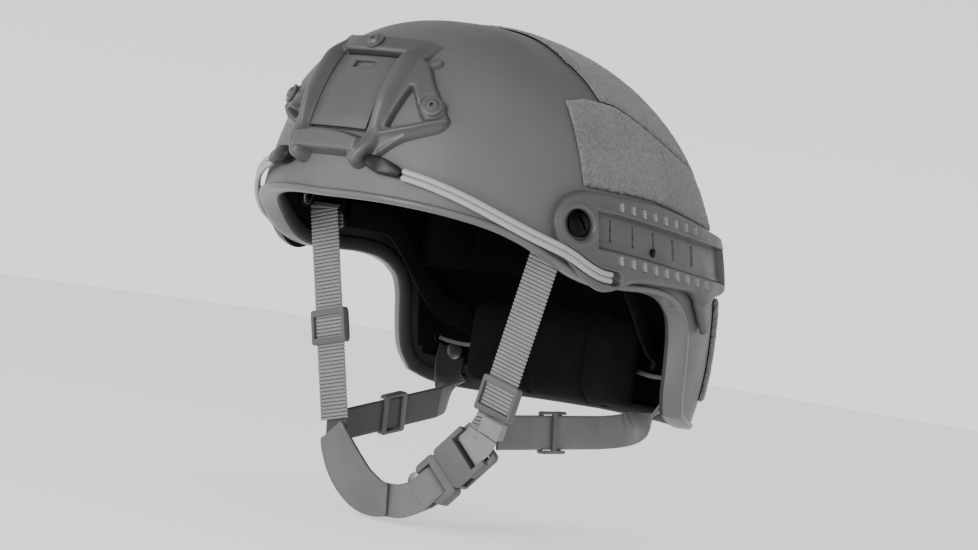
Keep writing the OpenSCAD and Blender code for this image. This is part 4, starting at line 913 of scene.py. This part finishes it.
def shroud_face(x, z):
    """How far the shroud's face stands from the shell, 0 where it is open."""
    x = np.abs(x)
    edge, hole = depth_in(x, z, rounded(FRAME)), depth_in(x, z, rounded(WINDOW))
    wing, cheek, bar = shroud_wing(x, z, edge, hole), shroud_cheek(x, z, hole), shroud_bar(x, z)
    foot_high = mix(CHEEK_T + 0.2, CHEEK_T * 0.7, fade(z, 29, 42))
    foot = raised(4.4 - near_line(x, z, FOOT)[0], foot_high, 0.2, 3.0)
    top = raised(4.3 - np.abs(z - CHEEK_TOP - 0.4), SHROUD_T + 0.8) * (x < CHEEK_X)
    lug = raised(2.1 - near_line(x, z, LUG)[0], SHROUD_T - 0.9, 0.2, 0.6)
    floor = FLOOR_H * (x < RECESS + 0.5) * (z > 32) * (z < 88) * ((z < 42) | (x > BAR_X + 0.2))
    return np.max([wing, cheek, foot, bar, top, lug, floor], axis=0)


def make_shroud():
    steps = np.arange(-57.4, 57.5, SHROUD_STEP), np.arange(21.6, 94, SHROUD_STEP)
    x, z = np.meshgrid(*steps, indexing="ij")
    high = shroud_face(x, z)
    for _ in range(2):
        high[1:-1] = (high[:-2] + 2 * high[1:-1] + high[2:]) / 4
        high[:, 1:-1] = (high[:, :-2] + 2 * high[:, 1:-1] + high[:, 2:]) / 4
    solid = high > SHROUD_LEAST
    points = above(front_psi(x, z), z, np.where(solid, high, -0.5))
    quads = quads_of(numbered(*x.shape))[:, [0, 3, 2, 1]]
    quads = quads[solid.ravel()[quads].any(axis=1)]
    used = np.unique(quads)
    shroud = mesh_object("shroud_frame", points.reshape(-1, 3)[used], np.searchsorted(used, quads))
    dress(shroud, "grey_plastic", "helmet", "shroud")
    # The low floor of the recess between the cheeks, darkened as painted shade
    low = (np.abs(x) < RECESS - 0.4) & (z > 40.5) & (high < FLOOR_H + 0.5)
    second_finish(shroud, RECESS_SHADE, low.ravel()[quads[:, 0]])


# Loop panels: thick pile with a frayed edge

SIDE_FROM, SIDE_TO, CROWN_FROM, CROWN_TO = 69.0, 138.0, -26.0, 106.0


def rough_grid(shape, size, depth):
    """Seeded unevenness over a grid: coarse tufts of size cells and fine grain."""
    rows, cols = shape
    coarse = RNG.normal(0, 1, (rows // size + 3, cols // size + 3))
    r, c = np.arange(rows) / size, np.arange(cols) / size
    r0, c0 = r.astype(int), c.astype(int)
    fr, fc = (r - r0)[:, None], (c - c0)[None]
    before, after = (mix(coarse[r0][:, c], coarse[r0 + 1][:, c], fr) for c in (c0, c0 + 1))
    return depth * (0.6 * mix(before, after, fc) + 0.55 * RNG.normal(0, 1, shape))


def pile(name, place, shape, thick, node, floor=0.3):
    """place(u, v, off) gives the panel's points for u, v from 0 to 1."""
    rows, cols = shape
    u, v = np.meshgrid(np.linspace(0, 1, rows), np.linspace(0, 1, cols), indexing="ij")
    edge = np.minimum(np.minimum(u, 1 - u) * rows, np.minimum(v, 1 - v) * cols)
    fray = 1.1 * np.exp(-edge / 1.5)
    u2 = u + fray * rough_grid(shape, 2, 0.55) / rows
    v2 = v + fray * rough_grid(shape, 2, 0.55) / cols
    tufts = np.clip(rough_grid(shape, 3, 0.16), -0.4, 0.4)
    h = thick * mix(0.55, 1, np.clip(edge / 2.2, 0, 1) ** 0.6) + tufts
    piece = relief(name, place(u2, v2, h), place(u, v, np.full(shape, floor)))
    return dress(piece, "loop_pile", "helmet", node)


def side_top(psi):
    return 79.5 - 3 * (1 - fade(psi, SIDE_FROM, 82)) - 24 * fade(psi, 96, 141)


def side_place(u, v, off):
    psi = mix(SIDE_FROM, SIDE_TO, u)
    return on_dome(psi, mix(32.5 - 9 * fade(psi, 96, 141), side_top(psi), v), off)


def crown_place(u, v, off):
    """Its sides follow the side panels' top edges."""
    y = mix(CROWN_FROM, CROWN_TO, u)
    psi = np.arange(SIDE_FROM, 142, 3.0)
    top = on_dome(psi, side_top(psi) - 0.2)
    half = np.minimum(62 + 25 * fade(y, CROWN_FROM, -11), np.interp(y, top[:, 1], top[:, 0]))
    return on_top((2 * v - 1) * half * (1 - 0.3 * fade(y, 84, 112) ** 2), y, off)


def rear_place(u, v, off):
    return on_dome(mix(139.0, 221.0, u), mix(-74.0, -14.0, v), off)


def make_loops():
    left = pile("loop_pile_left", side_place, (190, 78), 2.0, "loop_side_left")
    right = flipped("loop_pile_right", left)
    dress(right, "loop_pile", "helmet", "loop_side_right")
    pile("loop_pile_crown", crown_place, (200, 236), 2.0, "loop_crown", 0.8)
    pile("loop_pile_rear", rear_place, (190, 96), 2.8, "loop_rear", 0.6)


# The nape plate's radius, and the middle of its curve
PLATE_R, NAPE_Y, NAPE_Z = 101.0, 4.0, -60.0

# Harness

STRAP_W, STRAP_T, SLIP, BAR_R = 20.5, 1.5, 0.3, 1.6
SLEEVE_VOXEL, SLEEVE_ROUNDS = 0.55, 8
WEB_STEP, RIB_PITCH, RIB_DEPTH = 0.42, 2.1, 0.26
# Half of a strap's outline, in shares of its half width and half thickness
WEB_CUT = [(-1, -0.45), (-0.96, -0.9), (-0.86, -1), (-0.5, -1), (0, -1), (0.5, -1), (0.86, -1), (0.96, -0.9)]
WEB_CUT = np.array([*WEB_CUT, (1, -0.45)])
WEB_CUT = np.concatenate([WEB_CUT, -WEB_CUT])
LOOP_R = BAR_R + SLIP + STRAP_T / 2
# The front straps hang from a bar inside the bolt; the buckle lies at the left one's lower end
STRAP_TOP = above(BOLT_PSI, BOLT_Z, -SHELL_T - 12.28) + [0, 3.62, -5.32]
STRAP_SLOPE = np.array([-0.2435, 0.038, -1])
BUCKLE_TOP, BUCKLE_LOW = np.array([57, -41.3, -109.0]), np.array([27.5, -47.8, -143.5])
BUCKLE_AXIS = unit(BUCKLE_LOW - BUCKLE_TOP)
BUCKLE_X = unit(np.cross(BUCKLE_AXIS, [0.12, 1, 0.15]))
BUCKLE_N = np.cross(BUCKLE_X, BUCKLE_AXIS)
WOUND_S, WOUND_N = 9.6, 0.9
SOCKET_LEN, PLUG_LEN = 28.0, 14.0
BAR_Y, BAR_REACH = SOCKET_LEN + SLIP + PLUG_LEN - 1.8, 3.2
ACROSS = np.array([1.0, 0, 0])


def buckle_at(s, n):
    return BUCKLE_TOP + s * BUCKLE_AXIS + n * BUCKLE_N


def strap_point(z):
    return STRAP_TOP + STRAP_SLOPE * (STRAP_TOP[2] - z)


def strap_run(low_z):
    """A front strap's way from low_z up to its anchor, round the bar there and down inside."""
    bar = STRAP_TOP + [0, LOOP_R, 0]
    turn = np.radians(np.arange(0, 181, 12))
    loop = bar + np.stack([0 * turn, -LOOP_R * np.cos(turn), LOOP_R * np.sin(turn)], -1)
    up = [strap_point(low_z), strap_point(mix(low_z, STRAP_TOP[2], 0.5))]
    return [*up, *loop, bar + [-0.05, LOOP_R, -4], bar + [-2.2, LOOP_R - 0.4, -12]]


def eased(path, rounds):
    for _ in range(rounds):
        path = np.concatenate([path[:1], (path[:-2] + 2 * path[1:-1] + path[2:]) / 4, path[-1:]])
    return path


def webbing(name, path, sides, w, slot, node, body, ribs_from=None):
    """A strap with woven edges and, where ribs_from is given, ribs across it from that length on, with
    painted shade in the gaps between the ribs.
    """
    s, path, sides = evenly(np.asarray(path, float), WEB_STEP, np.asarray(sides, float))
    path = eased(path, 4)
    half = w / 2 + 0.1 * np.sin(2 * np.pi * s / 1.4)
    thick = np.full(s.shape, STRAP_T / 2)
    if ribs_from is not None:
        wave = np.sin(2 * np.pi * s / RIB_PITCH) * fade(s, ribs_from - 2, ribs_from)
        half = half + 0.22 * wave
        thick = thick + RIB_DEPTH * (np.sign(wave) * np.abs(wave) ** 0.6 - 1)
    outline = np.stack([WEB_CUT[:, 0] * half[:, None], WEB_CUT[:, 1] * thick[:, None]], -1)
    piece = dress(tube(name, swept(path, sides, outline)), slot, body, node)
    if ribs_from is not None:
        # The gaps between ribs, painted near-black as painted shade
        shaded_gaps = np.repeat(wave[1:] + wave[:-1] < -1.1, len(WEB_CUT))
        second_finish(piece, WEB_GAP_SHADE, np.append(shaded_gaps, [False, False]))
    return piece


def make_front_straps():
    turn = np.radians(np.arange(90, -91, -12))
    wound = [buckle_at(WOUND_S + LOOP_R * np.cos(a), WOUND_N + LOOP_R * np.sin(a)) for a in turn]
    head = [buckle_at(5, WOUND_N + LOOP_R - 0.1), buckle_at(7.5, WOUND_N + LOOP_R), *wound]
    head.append(buckle_at(6.5, -1.65))
    run = strap_run(-97.5)
    path = [*head, buckle_at(2.5, -1.5), np.array([57.9, -42.3, -104]), *run]
    turned = [0.0] * len(head) + [0.074, 0.5, 0.926] + [1.0] * (len(run) - 1)
    sides = [mix(BUCKLE_X, ACROSS, w) for w in turned]
    webbing("strap_front_left", path, sides, STRAP_W, "grey_webbing", "front_strap_left", "helmet", 24.0)
    path = [mirrored(p) for p in strap_run(-115)]
    sides = [ACROSS] * len(path)
    webbing("strap_front_right", path, sides, STRAP_W, "grey_webbing", "front_strap_right", "helmet", 0.0)


REAR_X, REAR_FRONT_Y, REAR_BACK_Y, REAR_W = 57.5, -31.0, 58.0, 19.0
REAR_LEFT_Z, REAR_RIGHT_Z = -105.0, -119.0
REAR_BEND = np.array([REAR_X + 2.4, REAR_BACK_Y, -100.0])


def make_rear_straps():
    end = above(136, -71, -SHELL_T - 2.6)
    for side, low_z in (("left", REAR_LEFT_Z), ("right", REAR_RIGHT_Z)):
        low = np.array([REAR_X, REAR_FRONT_Y, low_z])
        tail = curve([REAR_BEND, [66.5, 75, -96.5], [74, 83.5, -89], [81.5, 88, -80], end], 3)
        path = np.array([low, mix(low, REAR_BEND, 0.5), *tail])
        flat = unit(np.cross(path[-1] - path[-2], dome_normal(136, -71)))
        turned = fade(np.arange(len(path)), 3, len(path) - 2)[:, None]
        sides = mix(np.array([-0.1, 0, 1]), flat, turned)
        if side == "right":
            path, sides = mirrored(path), mirrored(sides)
        name, node = "strap_rear_" + side, "rear_strap_" + side
        strap = webbing(name, path, sides, REAR_W, "dark_webbing", node, "helmet")
        if side == "left":
            # The left rear strap is made lighter than the right one, as painted light on its lit side
            second_finish(strap, WEB_MID_GREY)


def hull_of(name, boxes):
    """A soft sleeve round boxes, each given by its centre, size and turn about Y."""
    bm = bmesh.new()
    for centre, size, turn in boxes:
        spin = Matrix.Rotation(math.radians(turn), 3, "Y")
        for corner in np.ndindex(2, 2, 2):
            local = Vector([(c - 0.5) * d for c, d in zip(corner, size)])
            bm.verts.new((Vector(centre) + spin @ local) * MM)
    bmesh.ops.convex_hull(bm, input=bm.verts)
    mesh = bpy.data.meshes.new(name)
    bm.to_mesh(mesh)
    bm.free()
    return remeshed(placed(name, mesh), SLEEVE_VOXEL, SLEEVE_ROUNDS)


def make_junctions():
    p = strap_point(-102.5)
    boxes = [(p + [4.5, -4.2, 0], (15, 1.2, 9), 14), (p + [4.5, -0.4, 0], (15, 2, 9), 14)]
    boxes.append(((REAR_X + 0.3, REAR_FRONT_Y - 2.9, REAR_LEFT_Z + 2.5), (5, 4, 10), 0))
    left = hull_of("sleeve_left", boxes)
    dress(left, "grey_webbing", "helmet", "junction_left")
    p = mirrored(strap_point(-117)) + [0.5, STRAP_T / 2 + SEAT, 0]
    boxes = [(p + [0, 1.2, -1], (15, 1.6, 13), -14)]
    boxes.append(((-REAR_X - 0.3, REAR_FRONT_Y - 4.3, REAR_RIGHT_Z), (5, 4, REAR_W - 3), 0))
    right = hull_of("sleeve_right", boxes)
    dress(right, "dark_webbing", "helmet", "junction_right")


CUP = [[-54.3, -38.6, -121], [-49, -42, -127.5], [-41, -46, -134.5], [-30, -49.5, -142]]
CUP += [[-17, -51.8, -148.5], [-4, -52.5, -151.5], [6, -52.2, -151.5]]
CUP_DISH, CUP_MIDDLE_W = 4, 28.0


def cup_grid(thick, out, narrower, span, shape, rim=0.0):
    """Outer and inner points of a band that follows the chin over a span of its line, 0 to 1."""
    rows, cols = shape
    line = curve(CUP, 12)
    u = np.linspace(*span, rows)
    at = u * (len(line) - 1)
    spots = np.stack([np.interp(at, np.arange(len(line)), line[:, k]) for k in range(3)], -1)
    side = unit(np.cross(directions(spots), [0, 1, 0.12]))
    w = mix(STRAP_W - 2, CUP_MIDDLE_W, np.sin(np.pi * np.minimum(u * 1.05, 1))) - narrower
    v = np.linspace(-1, 1, cols)
    back = spots[:, None] + side[:, None] * (v[None, :, None] * w[:, None, None] / 2)
    back[..., 1] += (CUP_DISH * np.sin(np.pi * u))[:, None] * v[None] ** 2 + out
    front = back.copy()
    front[..., 1] -= thick + rim * fade(np.abs(v), 0.8, 0.9)[None]
    return front, back


def make_cup():
    cup = slab("chin_cup_shell", *cup_grid(1.4, 0, 0, (0, 1), (150, 41), 0.55))
    soften(cup, 0.35, 50)
    dress(cup, "cup_hide", "helmet", "chin_cup")
    pad = slab("chin_cup_lining", *cup_grid(2.0, 2.4 + SEAT, 5, (0.27, 0.73), (40, 14)))
    swollen(pad, 0.9, 0.5)
    cushion(pad, "chin_cup_pad")


def make_plug_strap():
    turn = np.radians(np.arange(270, 89, -12))
    path = [buckle_at(BAR_Y + 9, -3.1), buckle_at(BAR_Y + 4.5, -3.0)]
    path += [buckle_at(BAR_Y + (LOOP_R + BAR_REACH) * np.cos(a), LOOP_R * np.sin(a)) for a in turn]
    head = len(path)
    to_cup = [[20.5, -48.3, -147.5], [13.5, -49.9, -150.8], [6, -50.4, -151.6], [0.5, -50.5, -151.6]]
    path += list(curve([buckle_at(BAR_Y + 5, 2.2), *to_cup], 2))
    turned = np.concatenate([np.zeros(head), np.linspace(0, 1, len(path) - head)])
    sides = [mix(BUCKLE_X, np.array([0.1, 0.1, -1]), w) for w in turned]
    strap = webbing("strap_plug", path, sides, STRAP_W - 2, "grey_webbing", "plug_strap", None)
    second_finish(strap, WEB_MID_GREY)
    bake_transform(strap)


# The bungee's way from its hook to the rail's lobe: psi, z and how far off the shell
ROUTE = [[20.5, 22.3, 4.6], [27, 19.5, 4.2], [35, 14.5, 4], [44, 7.5, 4.2], [52, 1.5, 5.2]]
ROUTE += [[*p, RAIL_T - 0.7] for p in LOBE]
CORD_TWIST, HOOK_END, RAIL_SIDE_END = 1.9, (21, 22, 4), (50, 3, 4)


def make_cords():
    spots = curve(on_dome(*np.transpose(ROUTE)), 10)
    both = []
    for s in (-1, 1):
        run, path = evenly(spots + [0, 0, s * (CORD_R + 0.05)], 0.8)
        r = CORD_R * (1 + 0.03 * np.sin(2 * np.pi * run / CORD_TWIST + s))
        r = r * np.sqrt(np.clip(np.minimum(run, run[-1] - run) / 1.2 + 0.25, 0, 1))
        both.append(round_bar("cord", path, r, r, 14))
    left = joined("cord_left", both)
    left.data.shade_smooth()
    right = flipped("cord_right_side", left)
    for side, sign, cord in (("left", 1, left), ("right", -1, right)):
        dress(cord, "cord", None, "bungee_cord_" + side)
        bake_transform(cord)


def make_laces():
    angle, z, r, back = 31, -63, 1.2, PLATE_R + 2.4

    def off_plate(degrees, up):
        a = math.radians(degrees)
        return np.array([(back + up) * math.sin(a), NAPE_Y + (back + up) * math.cos(a), z])

    wall = above(131.5, z, -SHELL_T - 3.7)
    path = [off_plate(angle - 3, SEAT + r + 0.1), off_plate(angle + 2, SEAT + r + 0.5)]
    path = curve([*path, [70, 88, z - 1], [82, 86.5, z - 0.5], wall], 14)
    run, path = evenly(path, 0.6)
    width = r * (1 + 0.08 * np.sin(2 * np.pi * run / 1.6))
    left = round_bar("lace_left", path, width, 0.75 * width, 12)
    laces = joined("nape_lace_pair", [left, flipped("lace_right", left)])
    laces.data.shade_smooth()
    dress(laces, "cord", "helmet", "nape_laces")
    second_finish(laces, LACE_GREY)


# Padding

CLOTH_STEPS = 20


def coords(mesh):
    flat = np.empty(len(mesh.vertices) * 3)
    mesh.vertices.foreach_get("co", flat)
    return flat.reshape(-1, 3)


def set_coords(obj, points):
    obj.data.vertices.foreach_set("co", np.asarray(points, float).reshape(-1))
    obj.data.update()


def swollen(obj, voxel, cap):
    """Swells a pad as a stuffed cover, no point moving more than cap mm."""
    remeshed(obj, voxel, 2)
    rest = coords(obj.data)
    cloth = obj.modifiers.new("swell", "CLOTH")
    cloth.settings.use_pressure = True
    cloth.settings.uniform_pressure_force = 4.0
    cloth.settings.effector_weights.gravity = 0
    for step in range(1, CLOTH_STEPS + 1):
        scene.frame_set(step)
    grown = coords(obj.evaluated_get(bpy.context.evaluated_depsgraph_get()).data)
    obj.modifiers.clear()
    scene.frame_set(1)
    move = grown - rest
    far = np.linalg.norm(move, axis=1, keepdims=True)
    set_coords(obj, rest + move * np.minimum(1, cap * MM / np.maximum(far, 1e-9)))
    finer = obj.modifiers.new("finer", "SUBSURF")
    finer.levels = finer.render_levels = 1
    applied(obj)
    obj.data.shade_smooth()


def cushion(pad, node):
    dress(pad, "black_pad", "helmet", node)


def spread_grid(rows, cols):
    """u and v from 0 to 1 over a grid, closer together towards its edges."""
    u, v = (0.5 - 0.5 * np.cos(np.linspace(0, np.pi, n)) for n in (rows, cols))
    return np.meshgrid(u, v, indexing="ij")


def bulge(u):
    return np.sqrt(np.maximum(1 - np.abs(2 * u - 1) ** 4, 0))


PAD_T, PAD_BACK, LINER_BASE, LINER_GAP, LINER_T = 17.0, -SHELL_T - 1.3, 40.0, 0.8, 11.4
# Sewn channels: how deep and wide, in mm, and millimetres for one degree round a pad
CHANNEL_DIP, CHANNEL_W, PAD_PSI_MM = 2.6, 1.5, 1.7


def shell_pad(name, node, psi_a, psi_b, low_a, low_b, high, channels, twin=None):
    """A pad against the shell, with a crowned face and sewn channels."""
    u, v = spread_grid(25, 15)
    low = mix(low_a, low_b, u)
    depth = (PAD_T - 1.6) * (0.42 + 0.58 * bulge(u) * bulge(v))
    back = on_dome(mix(psi_a + 0.8, psi_b - 0.8, u), mix(low + 1.3, high - 1.3, v), PAD_BACK - 0.5)
    face = on_dome(mix(psi_a + 1.9, psi_b - 1.9, u), mix(low + 2.6, high - 2.6, v), PAD_BACK - depth)
    pad = slab(name, back, face)
    swollen(pad, 4.0, 1.5)
    p = coords(pad.data) / MM
    wall = settle(p, PAD_BACK)
    middle = np.stack([0 * p[:, 0], level_shift(p[:, 2]), p[:, 2]], -1)
    reach, most = np.linalg.norm(p - middle, axis=1), np.linalg.norm(wall - middle, axis=1)
    p = np.where((reach > most)[:, None], wall, p)
    psi = np.degrees(np.arctan2(p[:, 0], -(p[:, 1] - middle[:, 1])))
    psi = np.where(psi < psi_a - 90, psi + 360, psi)
    lines = [mix(psi_a, psi_b, k / channels) for k in range(1, channels)]
    groove = sum(np.exp(-(((psi - line) * PAD_PSI_MM / CHANNEL_W) ** 2)) for line in lines)
    groove = groove * fade(most - reach, 3, 9)
    seam = np.exp(-(((most - reach - 5.5) / 1.1) ** 2))
    outward = unit(p - p.mean(axis=0))
    p = p + unit(p - middle) * (CHANNEL_DIP * groove)[:, None] + outward * (-0.5 * seam)[:, None]
    set_coords(pad, p * MM)
    if twin:
        cushion(flipped(twin[0], pad), twin[1])
    cushion(pad, node)


def bowl(name, outer, inner, top, under):
    """A closed bowl between two stacks of rings, with one top point each."""
    ids = numbered(*outer.shape[:2])
    pole = ids.size
    ends, starts = np.roll(ids, -1, axis=1), ids
    faces = [*map(tuple, ring_quads(ids)), *((a, b, pole) for a, b in zip(starts[-1], ends[-1]))]
    faces += [tuple(i + pole + 1 for i in f[::-1]) for f in faces]
    faces += [(a, b, b + pole + 1, a + pole + 1) for a, b in zip(starts[0], ends[0])]
    points = np.concatenate([outer.reshape(-1, 3), [top], inner.reshape(-1, 3), [under]])
    return mesh_object(name, points, faces)


def crown_point(off):
    return np.array([0, CROWN_SHIFT, CROWN + off])


def bowl_rings():
    """Angles round the shell and the share of a bowl's height at each of its rings."""
    psi = np.linspace(0, 360, 96, endpoint=False)[None]
    return psi, np.sin(np.pi / 2 * np.arange(22) / 22)[:, None]


def make_liner():
    psi, climb = bowl_rings()
    outer = on_dome(psi, mix(LINER_BASE, CROWN - SHELL_T, climb), -SHELL_T - LINER_GAP)
    inner = on_dome(psi, mix(LINER_BASE, CROWN - SHELL_T - LINER_T, climb), -SHELL_T - LINER_T)
    tops = crown_point(-SHELL_T - LINER_GAP), crown_point(-SHELL_T - LINER_T)
    liner = bowl("liner_shell", outer, inner, *tops)
    soften(liner, 1.0)
    dress(liner, "liner_foam", "helmet", "liner_cap")


def make_crown():
    """The crown's pad, with six sewn channels from a round one."""
    psi, climb = bowl_rings()
    off = -SHELL_T - LINER_T - LINER_GAP
    high = CROWN + off
    low = high - 14
    rings = on_dome(psi, mix(low + 1, high - 0.8, climb), off - 0.8)
    x, y, z = np.moveaxis(rings, -1, 0)
    lower = np.stack([mix(0, x, 0.9), mix(CROWN_SHIFT, y, 0.9), low - 1 - 9 * climb + (z - low) * 0.2], -1)
    under = [0, CROWN_SHIFT, low - 10 + 0.2 * (high - low)]
    pad = bowl("crown_cushion", rings, lower, crown_point(off - 0.8), under)
    swollen(pad, 4.5, 1.6)
    p = coords(pad.data) / MM
    turn = np.degrees(np.arctan2(p[:, 0], -(p[:, 1] - CROWN_SHIFT)))
    out = np.hypot(p[:, 0], p[:, 1] - CROWN_SHIFT)
    near = np.abs((turn + 30) % 60 - 30) * np.pi / 180 * out
    below = fade(on_top(p[:, 0], p[:, 1], off)[:, 2] - p[:, 2], 3, 8)
    groove = np.exp(-((near / 1.6) ** 2)) + np.exp(-(((out - 14) / 1.8) ** 2))
    p[:, 2] += 2.4 * np.minimum(groove, 1) * below
    set_coords(pad, p * MM)
    cushion(pad, "pad_crown")


def make_nape():
    u, v = spread_grid(29, 17)
    tall, half, thick = 62.0, 41.0, 16.0

    def spot(angle, r, z):
        a = np.radians(angle)
        return np.stack([r * np.sin(a), NAPE_Y + r * np.cos(a), z], -1)

    shape = (0.72 + 0.28 * bulge(u)) * (v - 0.5)
    back_r = np.full(u.shape, PLATE_R - SEAT - 0.6)
    face_r = PLATE_R - SEAT - (thick - 1.6) * (0.42 + 0.58 * bulge(u) * bulge(v))
    back = spot(mix(half - 0.8, 0.8 - half, u), back_r, NAPE_Z + (tall - 3) * shape)
    face = spot(mix(half - 2.4, 2.4 - half, u), face_r, NAPE_Z + (tall - 7) * shape)
    pad = slab("nape_cushion", back, face)
    swollen(pad, 4.0, 1.5)
    p = coords(pad.data) / MM
    reach = np.hypot(p[:, 0], p[:, 1] - NAPE_Y)
    angle = np.degrees(np.arctan2(p[:, 0], p[:, 1] - NAPE_Y))
    lines = [half - 2 * half * k / 3 for k in (1, 2)]
    groove = sum(np.exp(-(((angle - line) * 1.6 / CHANNEL_W) ** 2)) for line in lines)
    dip = CHANNEL_DIP * groove * fade(PLATE_R - reach, 3, 8)
    grown = (np.minimum(reach, PLATE_R - SEAT) + dip) / reach
    p[:, 0] *= grown
    p[:, 1] = NAPE_Y + (p[:, 1] - NAPE_Y) * grown
    set_coords(pad, p * MM)
    cushion(pad, "nape_pad")


def make_pads():
    high = LINER_BASE - 1
    shell_pad("brow_cushion", "pad_front", -45, 45, 17, 17, high, 4)
    twin = "side_cushion_right", "pad_side_right"
    shell_pad("side_cushion_left", "pad_side_left", 73, 115, -8.5, -9, high, 2, twin)
    twin = "rear_cushion_right", "pad_rear_right"
    shell_pad("rear_cushion_left", "pad_rear_left", 121, 159, -24, -20, high, 2, twin)
    shell_pad("rear_cushion_middle", "pad_rear_middle", 162, 198, -20, -20, high, 2)
    make_liner()
    make_crown()
    make_nape()


def keep_solids():
    """Rigid CAD nodes keep their shape, with eased edges and their finish."""
    width = {"shroud_lock_plate": 0.3, "rail_bolts": 0.25, "dial_knob": 0.5}
    width |= {"bungee_hook_left": 0.5, "bungee_hook_right": 0.5}
    looks = {"shroud_lock_plate": "grey_plastic", "shroud_screws": "grey_plastic"}
    dark = ("band_left", "band_right", "nape_plate", "dial_base", "dial_cover", "rack_left", "rack_right")
    looks |= {name: "liner_foam" for name in dark}
    for part in frame["record"]["subparts"]:
        node = NODES[part["node"]]
        if node.hide_render:
            continue
        node.data.materials.clear()
        node.data.materials.append(FINISH[looks.get(part["node"], part["material_slot"])])
        soften(node, width.get(part["node"], 0.22))
        node.data.shade_smooth()


# Camera, light and floor

LIGHT_AIM, FLOOR_HALF, FLOOR_GLOW = Vector((0, 0, -0.02)), 4000, 0.66
SKY = (("From Min", 0.02), ("From Max", 0.8), ("To Min", 1.5), ("To Max", 0.4))


def look():
    az, el, roll = (math.radians(v) for v in (CAM_AZIMUTH, CAM_ELEVATION, CAM_ROLL))
    back = Vector((math.cos(el) * math.sin(az), -math.cos(el) * math.cos(az), math.sin(el)))
    right = Vector((math.cos(az), math.sin(az), 0))
    up = back.cross(right)
    turned_right = right * math.cos(roll) + up * math.sin(roll)
    turned_up = up * math.cos(roll) - right * math.sin(roll)
    camera = placed("camera", bpy.data.cameras.new("camera"))
    camera.data.lens = CAM_LENS
    camera.data.sensor_width = 36
    camera.data.clip_end = 20
    camera.matrix_world = Matrix((turned_right, turned_up, back)).transposed().to_4x4()
    camera.location = (Vector(CAM_TARGET) + back * CAM_DISTANCE) * MM
    scene.camera = camera


def area_light(name, spot, size, power):
    light = bpy.data.lights.new(name, "AREA")
    light.energy = power
    light.size = size
    obj = placed(name, light)
    obj.location = spot
    obj.rotation_euler = (LIGHT_AIM - Vector(spot)).to_track_quat("-Z", "Y").to_euler()


def make_floor():
    corners = [(FLOOR_HALF * x, FLOOR_HALF * y, 0) for x, y in ((-1, -1), (1, -1), (1, 1), (-1, 1))]
    floor = mesh_object("floor", corners, [(0, 1, 2, 3)], False)
    floor.location.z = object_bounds()[0][2] - 0.002
    n = Nodes("floor", (0.85, 0.85, 0.85), 0.9)
    n.bump((n.noise(4, 2), 0.02),)
    n.shader.inputs["Emission Color"].default_value = (1, 1, 1, 1)
    n.shader.inputs["Emission Strength"].default_value = FLOOR_GLOW
    floor.data.materials.append(n.mat)
    floor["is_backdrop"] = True


def make_sky():
    """White, brighter towards the horizon than overhead."""
    world = bpy.data.worlds.new("studio")
    world.use_nodes = True
    tree = world.node_tree
    split = tree.nodes.new("ShaderNodeSeparateXYZ")
    tree.links.new(tree.nodes.new("ShaderNodeTexCoord").outputs["Generated"], split.inputs[0])
    fall = tree.nodes.new("ShaderNodeMapRange")
    for key, number in SKY:
        fall.inputs[key].default_value = number
    tree.links.new(split.outputs["Z"], fall.inputs["Value"])
    tree.nodes["Background"].inputs["Color"].default_value = (1, 1, 1, 1)
    tree.links.new(fall.outputs[0], tree.nodes["Background"].inputs["Strength"])
    scene.world = world


def studio():
    make_floor()
    make_sky()
    area_light("key", (0.5, -1.95, 0.35), 0.7, 34)
    area_light("brow", (-0.9, -1.7, 0.2), 0.8, 8)


make_shell()
make_trim()
make_rails()
make_shroud()
make_loops()
make_front_straps()
make_rear_straps()
make_junctions()
make_cup()
make_plug_strap()
make_cords()
make_laces()
make_pads()
keep_solids()
look()
studio()
